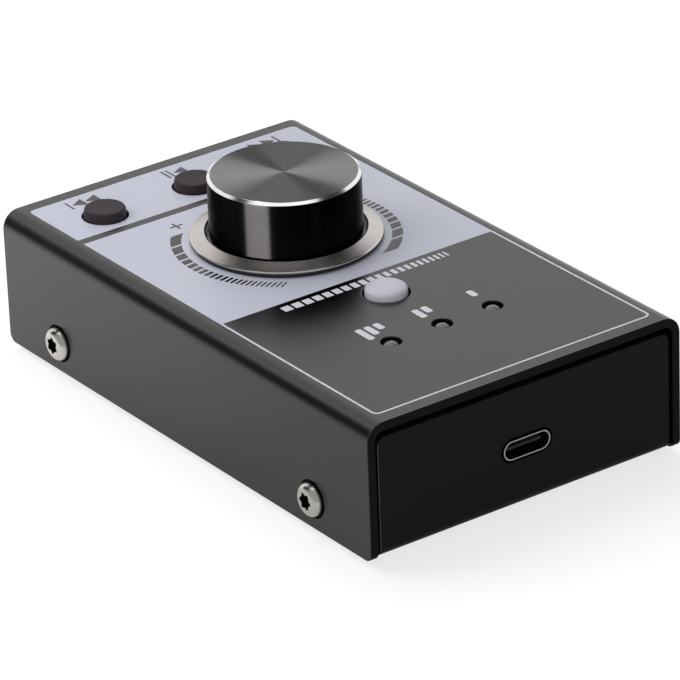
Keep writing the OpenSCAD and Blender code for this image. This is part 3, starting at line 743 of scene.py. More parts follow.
def middle(node: str) -> np.ndarray:
    """Middle of a CAD node's box, to the hundredth, because a faceted circle's box is a few microns off."""
    return np.round(np.mean(span(node), axis=0), 2)


def over(node: str, radius: float, margin: float) -> Opening:
    """Round opening over the middle of a CAD node."""
    x, y, _ = middle(node)
    return Opening(float(x), float(y), radius, margin)


@dataclass(frozen=True)
class Datum:
    """Places that the sub-assemblies share, read from the frame, and the sizes that they share."""

    half_w: float
    half_l: float
    base_z: float
    face_z: float
    knob_y: float
    port_z: float
    sheet: float = 1.5
    sheet_edge: float = 0.14
    sheet_corner_r: float = 1.5
    media_hole_r: float = 3.87
    screw_y: float = 35.0
    screw_rise: float = 5.0
    seat_r: float = 3.15
    seat_depth: float = 0.5

    @classmethod
    def from_frame(cls) -> "Datum":
        """Reads the cover, the ring and the socket's tongue.

        Returns:
            The places.
        """
        low, high = span("top_cover")
        return cls(float(high[0]), float(high[1]), float(low[2]), float(high[2]),
                   float(middle("bezel_ring")[1]), float(middle("usb_tongue")[2]))


@dataclass
class SubAssembly:
    """Group of pieces that are built and dressed together."""

    datum: Datum
    pieces: dict[str, bpy.types.Object] = field(default_factory=dict, init=False)

    def keep(self, name: str, shells: Sequence[Shell], body: str, *nodes: str) -> None:
        """Builds a piece and files it under its name."""
        self.pieces[name] = piece(name, shells, body, nodes)

    def report(self) -> None:
        """Logs each piece with the number of its faces."""
        for name, made in self.pieces.items():
            log.info("%s: %s, %d faces", type(self).__name__, name, len(made.data.polygons))


@dataclass(frozen=True)
class Bend:
    """Section of a sheet bent at right angles on both sides of a flat middle.

    Up to the distance `flat` from the middle the sheet stays level. Then the angle is the further distance
    over the radius, and the point is the bend's centre plus (radius - depth) times the sine and cosine of the
    angle. Past a quarter turn the rest runs straight down.
    """

    radius: float
    flat: float

    @property
    def quarter(self) -> float:
        """Length of one bend along the outer face."""
        return self.radius * math.pi / 2

    def ranges(self) -> tuple[Pair, Pair]:
        """Where the two bends lie along the sheet."""
        start, end = self.flat, self.flat + self.quarter
        return (-end, -start), (start, end)

    def along(self, drop: float) -> float:
        """Distance along the sheet to the place on its wall that lies `drop` under the flat's outer face."""
        return self.flat + self.quarter + drop - self.radius

    def section(self, along: np.ndarray, depth: np.ndarray) -> tuple[np.ndarray, np.ndarray]:
        """Bends places of the flat sheet.

        Args:
            along: distance along the sheet from its middle.
            depth: depth under its outer face.

        Returns:
            The place across and the drop under the flat's outer face.
        """
        angle = np.clip(np.abs(along) - self.flat, 0, self.quarter) / self.radius
        straight = np.maximum(np.abs(along) - self.flat - self.quarter, 0)
        across = np.minimum(np.abs(along), self.flat) + (self.radius - depth) * np.sin(angle)
        return np.sign(along) * across, self.radius - (self.radius - depth) * np.cos(angle) + straight


@dataclass
class Cover(SubAssembly):
    """Upper sheet, folded down along both long sides."""

    bend_r: float = 3.0
    shaft_hole_r: float = 4.0
    shaft_margin: float = 1.0
    mode_hole_r: float = 3.82
    mode_margin: float = 1.18
    media_margin: float = 1.13
    light_hole_r: float = 1.7
    light_margin: float = 0.8
    screw_hole_r: float = 1.7
    screw_margin: float = 2.3

    def build(self) -> None:
        """Folds the blank with its round holes and the four screw seats."""
        d = self.datum
        bend = Bend(self.bend_r, d.half_w - self.bend_r)
        reach = bend.along(d.face_z - d.base_z)
        holes = [over("bezel_ring", self.shaft_hole_r, self.shaft_margin),
                 over("mode_cap", self.mode_hole_r, self.mode_margin)]
        holes += [over(node, d.media_hole_r, self.media_margin) for node in MEDIA_CAPS]
        holes += [over(node, self.light_hole_r, self.light_margin) for node in LIGHTS]
        holes += [Opening(x * (reach - d.screw_rise), y * d.screw_y, self.screw_hole_r, self.screw_margin,
                          seat_radius=d.seat_r, seat_depth=d.seat_depth) for x in (-1, 1) for y in (-1, 1)]
        blank = Blank(reach, d.half_l, d.sheet, d.sheet_edge, d.sheet_corner_r, d.sheet_corner_r,
                      tuple(holes), bends_u=bend.ranges())

        def fold(u: np.ndarray, v: np.ndarray, w: np.ndarray) -> np.ndarray:
            """Bends the blank down along its sides."""
            x, drop = bend.section(u, w)
            return np.stack([x, v, d.face_z - drop], axis=-1)

        self.keep("cover_sheet", [blank.shell(fold)], "housing", "top_cover")

    def dress(self) -> None:
        """Gives the cover its satin coat, and its cut edges, seats and hole walls a flat black as painted
        shade.
        """
        # Second finish: painted shade, flat black on the cut edges, seats and hole walls
        dress(self.pieces["cover_sheet"], "cover_metal", COVER_METAL, CUT_EDGE_SHADE)


@dataclass
class Tray(SubAssembly):
    """Lower sheet: the floor, two end walls and four screw tabs.

    The tabs are thinner than the sheet by a hair on both faces, so that no two faces share a plane.
    """

    width: float = 56.0
    wall_inset: float = 0.2
    height: float = 20.5
    bend_r: float = 2.0
    pillar_x: float = 19.5
    pillar_ys: Pair = (-27.0, 34.0)
    pillar_r: float = 2.12
    pillar_margin: float = 0.9
    port_gap: float = 0.42
    port_margin: float = 1.2
    highlight_w: float = 0.126
    tab_width: float = 56.8
    tab_bend_r: float = 1.7
    tab_length: float = 10.0
    tab_height: float = 9.0
    tab_root: float = 1.0
    tab_corner_r: float = 0.6
    tab_hair: float = 0.03
    nut_hole_r: float = 2.12
    nut_margin: float = 1.0

    def build(self) -> None:
        """Folds the tray's walls up and adds its tabs."""
        d = self.datum
        half = d.half_l - self.wall_inset
        bend = Bend(self.bend_r, half - self.bend_r)
        low, high = span("usb_shell")
        port_h = 2 * (float(high[2]) - d.port_z + self.port_gap)
        port_w = float(high[0] - low[0]) + 2 * self.port_gap
        holes = [Opening(x * self.pillar_x, y, self.pillar_r, self.pillar_margin)
                 for y in self.pillar_ys for x in (-1, 1)]
        holes.append(Opening(0, bend.along(d.port_z - d.base_z), port_h / 2, self.port_margin,
                             (port_w - port_h) / 2))
        blank = Blank(self.width / 2, bend.along(self.height), d.sheet, d.sheet_edge, d.sheet_corner_r,
                      d.sheet_corner_r, tuple(holes), bends_v=bend.ranges())

        def fold(u: np.ndarray, v: np.ndarray, w: np.ndarray) -> np.ndarray:
            """Bends the blank up at its ends."""
            y, rise = bend.section(v, w)
            return np.stack([u, y, d.base_z + rise], axis=-1)

        def highlight_edge(p: np.ndarray) -> np.ndarray:
            """Picks the upright edge beside the socket's end wall, on the right, for a painted highlight."""
            return (p[:, 0] > self.width / 2 - self.highlight_w) & (p[:, 1] > half - self.highlight_w)

        # The third finish is a painted highlight along that edge
        sheet = blank.shell(fold).painted(2, highlight_edge)
        self.keep("tray_sheet", [sheet] + self.tabs(), "housing", "bottom_tray")

    def tabs(self) -> list[Shell]:
        """Bends four narrow strips up at the floor's edges, to carry the nuts of the case screws.

        Returns:
            The tabs, two on each side.
        """
        d = self.datum
        bend = Bend(self.tab_bend_r, self.tab_width / 2 - self.tab_bend_r)
        start, end = bend.flat - self.tab_root, bend.along(self.tab_height)
        mid, half = (start + end) / 2, (end - start) / 2
        nut = Opening(bend.along(d.screw_rise) - mid, 0, self.nut_hole_r, self.nut_margin)
        blank = Blank(half, self.tab_length / 2, d.sheet - 2 * self.tab_hair, d.sheet_edge, self.tab_corner_r,
                      self.tab_corner_r, (nut,), ((bend.flat - mid, bend.flat + bend.quarter - mid),))

        def tab(side: int, y0: float) -> Shell:
            """Folds one strip.

            Args:
                side: -1 for the left side, 1 for the right.
                y0: its middle along the box.

            Returns:
                The strip.
            """
            def fold(u: np.ndarray, v: np.ndarray, w: np.ndarray) -> np.ndarray:
                """Bends the strip up on one side."""
                x, rise = bend.section(u + mid, w + self.tab_hair)
                return np.stack([side * x, v + y0, d.base_z + rise], axis=-1)

            return blank.shell(fold)

        return [tab(side, y) for side in (-1, 1) for y in (-d.screw_y, d.screw_y)]

    def dress(self) -> None:
        """Gives the tray its black coat, painted shade on its cut edges and holes, and a painted highlight
        along one upright edge at the socket's end.
        """
        # Second finish: painted shade on cut edges and holes; third: a painted highlight on one upright edge
        dress(self.pieces["tray_sheet"], "tray_metal", TRAY_METAL, CUT_EDGE_SHADE, EDGE_HIGHLIGHT)


@dataclass
class Prints(SubAssembly):
    """Printed panels, outline, marks and level bars on top of the cover, as films with a real thickness.

    A pair named for an arrow gives its apex and its base across the box, one named for a bar its two sides.
    """

    film: float = 0.02
    edge: float = 0.004
    half_w: float = 26.5
    front_y: float = -47.5
    split: Pair = (-32.9, -31.2)
    rear_y: float = 7.15
    end_y: float = 47.5
    corner_r: float = 1.0
    square_r: float = 0.05
    media_margin: float = 0.6
    knob_hole: Pair = (4.2, 1.0)
    line_w: float = 0.37
    skip_y: Pair = (-46.3, -43.4)
    skip_inset: float = 0.1
    next_bar: Pair = (20.05, 20.4)
    next_arrows: tuple[Pair, Pair] = ((17.2, 14.7), (19.65, 17.4))
    previous_bar: Pair = (-21.25, -20.85)
    previous_arrows: tuple[Pair, Pair] = ((-20.5, -18.3), (-17.9, -15.8))
    play_arrow: Pair = (-0.2, -2.5)
    play_y: Pair = (-46.0, -43.5)
    pause_bars: tuple[Pair, Pair] = ((0.2, 0.55), (1.05, 1.45))
    pause_y: Pair = (-46.4, -43.3)
    apex_half: float = 0.04
    sign_at: Pair = (11.3, -27.2)
    sign_half: float = 1.2
    sign_line: float = 0.2
    tick_r: Pair = (16.9, 18.65)
    tick_count: int = 23
    tick_step: Triple = (3.7, 0.38, 0.9)
    tick_gap: Pair = (0.5, 0.02)
    tick_starts: Pair = (-24.35, 2.65)
    tick_slant: float = 30.0
    level_y: Pair = (8.3, 10.0)
    level_left: float = -15.8
    level_length: float = 31.9
    level_count: int = 22
    level_w: Pair = (0.35, 1.5)
    level_gap: float = 0.5
    light_bars: tuple[tuple[float, ...], ...] = ((-10.0,), (-1.1, 0.65), (8.1, 9.85, 11.5))
    light_bar_y: float = 22.3
    light_bar_w: float = 1.15
    light_bar_h: Triple = (2.2, 3.2, 4.2)
    light_bar_r: float = 0.36

    def build(self) -> None:
        """Makes the films."""
        d = self.datum
        z0, z1 = d.face_z, d.face_z + self.film
        media = [over(node, d.media_hole_r, self.media_margin) for node in MEDIA_CAPS]
        self.keep("media_panel", [self.panel(self.front_y, self.split[0], self.corner_r, media)], "housing")
        knob = [over("bezel_ring", *self.knob_hole)]
        self.keep("knob_panel", [self.panel(self.split[1], self.rear_y, self.square_r, knob)], "housing")
        self.keep("outline_print", [slab(self.outline(), z0, z1)], "housing")
        self.keep("level_print", [slab(g, z0, z1) for g in self.level_bars() + self.light_marks()], "housing")
        marks = self.media_marks() + self.signs() + self.ticks()
        self.keep("mark_print", [slab(g, z1 - self.film / 4, z1 + self.film / 2) for g in marks], "housing")

    def panel(self, y0: float, y1: float, front_r: float, holes: list[Opening]) -> Shell:
        """Flat film between two places along the box.

        Args:
            y0: front edge.
            y1: rear edge.
            front_r: radius of its front corners.
            holes: openings, in the box's own places.

        Returns:
            The film.
        """
        mid, top = (y0 + y1) / 2, self.datum.face_z + self.film
        moved = tuple(replace(hole, v=hole.v - mid) for hole in holes)
        blank = Blank(self.half_w, (y1 - y0) / 2, self.film, self.edge, front_r, self.square_r, moved)
        return blank.shell(lambda u, v, w: np.stack([u, v + mid, top - w], axis=-1))

    def outline(self) -> np.ndarray:
        """Line along three sides of the dark field: straight, a quarter circle at each corner, straight.

        Returns:
            Grid of two rows, the line's inner and outer edge.
        """
        x0, r, half = self.half_w - self.line_w / 2, self.corner_r, self.line_w / 2
        a = np.linspace(0, math.pi / 2, 9)
        y_c = self.end_y - half - r
        side = np.stack([np.concatenate([[x0], x0 - r + r * np.cos(a)]),
                         np.concatenate([[self.rear_y], y_c + r * np.sin(a)])], axis=1)
        path = np.concatenate([side, side[::-1] * [-1, 1]])
        out = np.concatenate([[[1, 0]], np.stack([np.cos(a), np.sin(a)], axis=1)])
        out = np.concatenate([out, out[::-1] * [-1, 1]])
        return np.stack([path - out * half, path + out * half])

    @staticmethod
    def block(x0: float, x1: float, y0: float, y1: float) -> np.ndarray:
        """Grid of one rectangle."""
        return np.array([[[x0, y0], [x1, y0]], [[x0, y1], [x1, y1]]])

    def arrow(self, apex: float, base: float, y0: float, y1: float) -> np.ndarray:
        """Grid of a triangle with a narrow apex, between the lines x = apex and x = base."""
        mid, tip = (y0 + y1) / 2, self.apex_half
        return np.array([[[apex, mid - tip], [apex, mid + tip]], [[base, y0], [base, y1]]])

    def light_bar(self, x: float, height: float) -> np.ndarray:
        """Upright bar whose corners are quarter circles: near an end its half-width drops by r (1 - cos a).

        Args:
            x: its middle across the box.
            height: its length along the box.

        Returns:
            Grid of two rows, the bar's two sides.
        """
        y0, y1, r = self.light_bar_y, self.light_bar_y + height, self.light_bar_r
        a = np.linspace(0, math.pi / 2, 7)
        y = np.concatenate([y0 + r - r * np.sin(a[::-1]), y1 - r + r * np.sin(a)])
        w = self.light_bar_w / 2 - r * (1 - np.cos(np.concatenate([a[::-1], a])))
        return np.stack([np.stack([x - w, y], axis=1), np.stack([x + w, y], axis=1)])

    def media_marks(self) -> list[np.ndarray]:
        """Lays out the skip, play and pause marks in front of the media buttons.

        Returns:
            One grid for each bar and arrow.
        """
        y0, y1 = self.skip_y
        tip = y0 + self.skip_inset
        marks = []
        for bar, arrows in ((self.next_bar, self.next_arrows), (self.previous_bar, self.previous_arrows)):
            marks += [self.block(*bar, y0, y1)] + [self.arrow(*ends, tip, y1) for ends in arrows]
        marks.append(self.arrow(*self.play_arrow, *self.play_y))
        return marks + [self.block(*bar, *self.pause_y) for bar in self.pause_bars]

    def signs(self) -> list[np.ndarray]:
        """Lays out the plus and minus at the two ends of the scale.

        Returns:
            Three blocks of the plus and one of the minus.
        """
        (x, y), half, line = self.sign_at, self.sign_half, self.sign_line
        return [self.block(x - half, x + half, y - line, y + line),
                self.block(x - line, x + line, y + line, y + half),
                self.block(x - line, x + line, y - half, y - line),
                self.block(-x - half, -x + half, y - line, y + line)]

    def ticks(self) -> list[np.ndarray]:
        """Blocks along two arcs round the ring, cut by lines that lean more and more.

        Block i starts where the ones before it end. Its step is a / (1 + b i)^c with a, b and c from
        `tick_step`, and the gap after it is a / (1 + b i) with a and b from `tick_gap`. Its lines pass
        through the middle circle at m, whose height above the axis is y, in the direction d, which leans
        from X by the slant times i / count. On the radius r a line stands at m + t d, with
        t = root((m.d)^2 + r^2 - m.m) - m.d.

        Returns:
            One grid for each block.
        """
        i = np.arange(self.tick_count)
        (first, fall, power), (gap_first, gap_fall) = self.tick_step, self.tick_gap
        step, gap = first / (1 + fall * i) ** power, gap_first / (1 + gap_fall * i)
        starts = np.concatenate([[0], np.cumsum(step)[:-1]])
        share, radius = np.linspace(0, 1, 5), np.linspace(*self.tick_r, 3)
        lean = np.radians(self.tick_slant * i / self.tick_count)[:, None, None]
        grids = []
        for side, origin in zip((1, -1), self.tick_starts):
            y = side * (origin - self.datum.knob_y) + starts[:, None] + share * (step - gap)[:, None]
            x, y = np.sqrt(radius[1] ** 2 - y ** 2)[..., None], y[..., None]
            along = x * np.cos(lean) + y * np.sin(lean)
            t = np.sqrt(along ** 2 + radius ** 2 - radius[1] ** 2) - along
            spots = np.stack([x + t * np.cos(lean), y + t * np.sin(lean)], axis=-1)
            grids += list(side * spots + [0, self.datum.knob_y])
        return grids

    def level_bars(self) -> list[np.ndarray]:
        """Row of upright bars that grow from thin to thick between the panel and the mode button.

        Returns:
            One block for each bar.
        """
        width = np.linspace(*self.level_w, self.level_count)
        ends = np.cumsum(width + self.level_gap) - self.level_gap
        scale = self.level_length / ends[-1]
        left, right = (self.level_left + x * scale for x in (ends - width, ends))
        return [self.block(a, b, *self.level_y) for a, b in zip(left, right)]

    def light_marks(self) -> list[np.ndarray]:
        """One, two and three bars in front of the lights, each taller than the one before."""
        return [self.light_bar(x, h) for group in self.light_bars for x, h in zip(group, self.light_bar_h)]

    def dress(self) -> None:
        """Gives the films their inks, the same on their cut edges."""
        for name, finish in (("media_panel", PRINT_PALE), ("knob_panel", PRINT_PALE),
                             ("outline_print", PRINT_LINE), ("level_print", PRINT_LINE),
                             ("mark_print", COVER_METAL)):
            dress(self.pieces[name], "cover_metal", finish, finish)


@dataclass
class CaseScrews(SubAssembly):
    """Pan-head screws with a six-lobed recess, two in each side wall.

    The recess's lip is given as distances out from its wall and down from the head's top, and its floor as
    radius, distance down from the recess's depth, and share of the lobes that is left.
    """

    head_r: float = 2.8
    head_h: float = 1.93
    head_edge: float = 0.12
    crown: Pair = (1.35, 1.15)
    crown_drop: float = 0.04
    crown_end: float = 80.0
    shank_r: float = 1.45
    shank_l: float = 5.0
    shank_edge: float = 0.3
    recess_r: float = 1.22
    recess_depth: float = 1.1
    recess_lip: tuple[Pair, ...] = ((0.12, 0.05), (0.03, 0.08), (0.0, 0.14))
    recess_floor: tuple[Triple, ...] = ((0.6, 0.05, 0.3), (0.0, 0.1, 0.0))
    recess_shade: Pair = (0.01, 0.1)
    lobes: int = 6
    lobe: float = 0.18
    segments: int = 96
    turns: Pair = (17.0, 23.0)

    def screw(self) -> Shell:
        """One screw, upright on its seat, with painted shade in its recess as a second finish.

        The head's top is a set of rings at the radius r(a) = ring + lobe k cos(6 a), where k is 1 at the
        recess and 0 on the head outside it, so the six lobes fade into a circle.

        Returns:
            The closed surface of the screw.
        """
        h, r = self.head_h, self.head_r
        across, up = self.crown
        shoulder, floor = h - up - self.crown_drop, h - self.recess_depth
        shank = eased([(0, -self.shank_l, 0), (self.shank_r, -self.shank_l, self.shank_edge),
                       (self.shank_r, 0, 0), (r, 0, self.head_edge), (r, shoulder, 0)], 3)
        dome = np.radians(np.linspace(0, self.crown_end, 13))
        crown = np.stack([r - across + across * np.cos(dome), shoulder + up * np.sin(dome)], axis=1)
        inner = [(self.recess_r + out, h - drop, 1) for out, drop in self.recess_lip]
        inner += [(self.recess_r, floor, 1)] + [(x, floor - drop, k) for x, drop, k in self.recess_floor]
        ring = np.concatenate([np.pad(np.concatenate([shank, crown]), ((0, 0), (0, 1))), inner])
        a = np.arange(self.segments) * TURN / self.segments
        radius = ring[:, :1] + self.lobe * ring[:, 2:] * np.cos(self.lobes * a)
        height = np.repeat(ring[:, 1:2], self.segments, axis=1)
        points = np.stack([radius * np.cos(a), radius * np.sin(a), height], axis=2)
        steps = np.linalg.norm(np.diff(ring[:, :2], axis=0), axis=1)
        beside, under = self.recess_shade
        reach = self.recess_r + self.lobe + beside
        made = net(points, (False, True), v=np.concatenate([[0], np.cumsum(steps), [0]]))
        # The recess and a hair round it take painted shade
        return made.painted(1, lambda p: (np.hypot(p[:, 0], p[:, 1]) < reach)
                            & (p[:, 2] > 0) & (p[:, 2] < h - under))

    def build(self) -> None:
        """Lays a screw in each seat, turned a little from its neighbour as hands leave them."""
        d, one = self.datum, self.screw()
        first, step = self.turns
        made = []
        for number, (side, y) in enumerate((s, t) for s in (-1, 1) for t in (-1, 1)):
            spin = Matrix.Rotation(math.radians(first + step * number), 3, "Z")
            lay = Matrix.Rotation(side * math.pi / 2, 3, "Y")
            place = (side * (d.half_w - d.seat_depth), y * d.screw_y, d.base_z + d.screw_rise)
            made.append(one.moved(np.array(lay @ spin), place))
        self.keep("pan_screws", made, "housing", "case_screws")

    def dress(self) -> None:
        """Plates the screws and paints shade into their recesses."""
        dress(self.pieces["pan_screws"], "plated_steel", SCREW_NICKEL, SCREW_RECESS_SHADE)


@dataclass
class Feet(SubAssembly):
    """Four rubber feet under the tray."""

    radius: float = 4.0
    dish_r: float = 2.2
    dish_slope: float = 0.35
    dish_depth: float = 0.12
    bevel: Pair = (0.6, 0.5)

    def build(self) -> None:
        """Turns each foot: a bevelled disc with a shallow dish in the face that it stands on."""
        inward, up = self.bevel
        for node in FEET:
            x, y, _ = middle(node)
            top = float(span(node)[1][2])
            profile = eased([(0, self.dish_depth, 0), (self.dish_r, self.dish_depth, 0.1),
                             (self.dish_r + self.dish_slope, 0, 0.12), (self.radius - inward, 0, 0.35),
                             (self.radius, up, 0.25), (self.radius, top, 0.04), (0, top, 0)])
            self.keep(node.replace("foot", "pad"), [turned(profile, (x, y, 0), segments=64)], "housing", node)

    def dress(self) -> None:
        """Makes the feet of dull black rubber."""
        for made in self.pieces.values():
            dress(made, "foot_rubber", FOOT_RUBBER)


@dataclass
class KnobDrive(SubAssembly):
    """Ring on the cover and the turned shell of the knob.

    `polish_w` is the width of the polished rim round the ring, and `shade_drop` how far under that rim's top
    the painted shade on the ring ends. `play_out` and `play_up` are the play with which the knob's cut edge
    is told from its other faces.
    """

    ring_r: float = 15.6
    ring_hole_r: float = 12.9
    ring_rim_h: float = 1.0
    ring_crown_h: float = 1.85
    ring_edge: float = 0.3
    ring_undercut: float = 0.3
    ring_gasket_h: float = 0.42
    ring_groove: float = 0.08
    polish_w: float = 0.17
    shade_drop: float = 0.16
    wall: float = 1.4
    top: float = 1.85
    edge_w: float = 0.57
    edge_h: float = 0.41
    play_out: float = 0.02
    play_up: float = 0.005
    segments: int = 192

    def away(self, p: np.ndarray) -> np.ndarray:
        """Distance of each place from the knob's axis."""
        return np.hypot(p[:, 0], p[:, 1] - self.datum.knob_y)

    def ring(self) -> Shell:
        """Turns the ring: a gasket and groove, an upright rim, a slope up to the hole and a cut edge. The
        gasket, the groove and the rim's lower part up to `shade_drop` under its top are painted black as
        shade under the rim.

        Returns:
            The ring on the cover, with its polished faces and its painted shade.
        """
        d = self.datum
        seat_r, inner = self.ring_r - self.ring_undercut, self.ring_hole_r + self.ring_edge
        section = eased([(self.ring_hole_r, 0, 0.05), (seat_r, 0, 0.05), (seat_r, self.ring_gasket_h, 0.02),
                         (self.ring_r, self.ring_gasket_h + self.ring_groove, 0.05),
                         (self.ring_r, self.ring_rim_h, 0.2), (inner, self.ring_crown_h, 0.06),
                         (self.ring_hole_r, self.ring_crown_h - self.ring_edge, 0.06)])
        rim_r, shade_top_z = self.ring_r - self.polish_w, d.face_z + self.ring_rim_h - self.shade_drop
        made = turned(section, (0, d.knob_y, d.face_z), True, self.segments)
        made.painted(1, lambda p: (self.away(p) < inner) | (self.away(p) > rim_r))
        # Gasket, groove and upright rim below shade_top_z are painted black as shade
        return made.painted(2, lambda p: (self.away(p) > inner) & (p[:, 2] < shade_top_z))

    def cup(self) -> Shell:
        """Turns the knob: its flat top, the cut edge, the side wall with a round lip, and the hollow inside.

        Returns:
            The knob's shell, with its cut edge and its dark side.
        """
        low, high = span("knob_shell")
        r, h = float(high[0]), float(high[2] - low[2])
        section = eased([(0, h, 0), (r - self.edge_w, h, 0.05), (r, h - self.edge_h, 0.06), (r, 0, 0.25),
                         (r - self.wall, 0, 0.15), (r - self.wall, h - self.top, 0.3), (0, h - self.top, 0)])
        edge_z, face_r = float(high[2]) - self.edge_h + self.play_up, r - self.edge_w + self.play_out
        made = turned(section, (0, self.datum.knob_y, float(low[2])), False, self.segments)
        made.painted(1, lambda p: (p[:, 2] > edge_z) & (self.away(p) > face_r))
        return made.painted(2, lambda p: p[:, 2] <= edge_z)

    def build(self) -> None:
        """Makes the ring and the knob."""
        self.keep("trim_ring", [self.ring()], "housing", "bezel_ring")
        self.keep("knob_cup", [self.cup()], "knob", "knob_shell")

    def dress(self) -> None:
        """Gives both their turned finishes, with a bright cut edge, and paints black shade on the ring's
        gasket and lower rim.
        """
        dress(self.pieces["trim_ring"], "ring_steel", RING_STEEL, RING_POLISH, BLACK_MOULDING)
        dress(self.pieces["knob_cup"], "knob_aluminium", KNOB_FACE, KNOB_CUT, KNOB_SIDE)


@dataclass
class Buttons(SubAssembly):
    """Three media buttons and the mode button, each with its flange under the cover."""

    flange_r: float = 4.7
    flange_drop: float = 0.35
    flange_h: float = 1.0
    neck_r: float = 3.2
    bore_r: float = 1.77
    bore_drop: float = 1.98
    bottom_drop: float = 7.5
    media_foot_r: float = 3.55
    media_top_r: float = 3.35
    media_edge: float = 0.42
    media_dish: Pair = (1.9, 0.1)
    mode_r: float = 3.45
    mode_drop: float = 0.3
    fullness: float = 0.5
    segments: int = 96

    def stem(self, radius: float) -> list[Triple]:
        """Corners from the bore's roof down, round the neck, out over the flange and in to the cap.

        Args:
            radius: radius of the cap where it leaves the flange.

        Returns:
            Corners (across, up, distance) with the cover's face at zero.
        """
        flange = -self.datum.sheet - self.flange_drop
        foot = flange - self.flange_h
        return [(0, -self.bore_drop, 0), (self.bore_r, -self.bore_drop, 0.05),
                (self.bore_r, -self.bottom_drop, 0.08), (self.neck_r, -self.bottom_drop, 0.15),
                (self.neck_r, foot, 0.05), (self.flange_r, foot, 0.15), (self.flange_r, flange, 0.15),
                (radius, flange, 0.1)]

    def media(self, rise: float) -> np.ndarray:
        """Draws a media button: a tapered wall, a soft edge and a shallow dish in its top.

        Args:
            rise: height of its top over the cover.

        Returns:
            Its profile (across, up).
        """
        dish_r, dish = self.media_dish
        return eased(self.stem(self.media_foot_r) + [
            (self.media_foot_r, 0, 0.02), (self.media_top_r, rise, self.media_edge),
            (dish_r, rise - dish / 2, 0.5), (0, rise - dish, 0)], 6)

    def mode(self, rise: float) -> np.ndarray:
        """Draws the mode button, whose dome is a full oval: both cos a and sin a to the same power.

        Args:
            rise: height of its top over the cover.

        Returns:
            Its profile (across, up).
        """
        a = np.linspace(0, math.pi / 2, 25)
        across, up = np.cos(a).clip(0) ** self.fullness, np.sin(a) ** self.fullness
        crown = np.stack([self.mode_r * across, (rise - self.mode_drop) * up], axis=1)
        return np.concatenate([eased(self.stem(self.mode_r) + [(self.mode_r, 0, 0)]), crown])

    def build(self) -> None:
        """Turns the four caps, each round its CAD node's own axis."""
        face = self.datum.face_z
        for node in (*MEDIA_CAPS, "mode_cap"):
            x, y, _ = middle(node)
            profile = (self.mode if node == "mode_cap" else self.media)(float(span(node)[1][2]) - face)
            self.keep(node.replace("cap", "key"), [turned(profile, (x, y, face), segments=self.segments)],
                      node.replace("cap", "button"), node)

    def dress(self) -> None:
        """Gives the media buttons a dark soft coat and the mode button a pale one."""
        for name, made in self.pieces.items():
            if name == "mode_key":
                dress(made, "mode_cap_plastic", MODE_PLASTIC)
            else:
                dress(made, "media_cap_rubber", MEDIA_RUBBER)


@dataclass
class Lights(SubAssembly):
    """Clear domed bodies of the three indicator lights."""

    radius: float = 1.5
    flange_r: float = 1.9
    flange_h: float = 1.0
    proud: float = 0.4
    segments: int = 64

    def build(self) -> None:
        """Turns each light: a flange, a straight body and a half-round tip."""
        a = np.linspace(0, math.pi / 2, 17)
        foot = eased([(0, 0, 0), (self.flange_r, 0, 0.08), (self.flange_r, self.flange_h, 0.08),
                      (self.radius, self.flange_h, 0.06)])
        for node in LIGHTS:
            low, high = span(node)
            start = float(high[2] - low[2]) + self.proud - self.radius
            tip = np.stack([self.radius * np.cos(a), start + self.radius * np.sin(a)], axis=1)
            axis, profile = (*middle(node)[:2], float(low[2])), np.concatenate([foot, tip])
            self.keep(node + "_lens", [turned(profile, axis, segments=self.segments)], "housing", node)

    def dress(self) -> None:
        """Makes the lights of clear resin."""
        for made in self.pieces.values():
            dress(made, "light_lens", LENS)


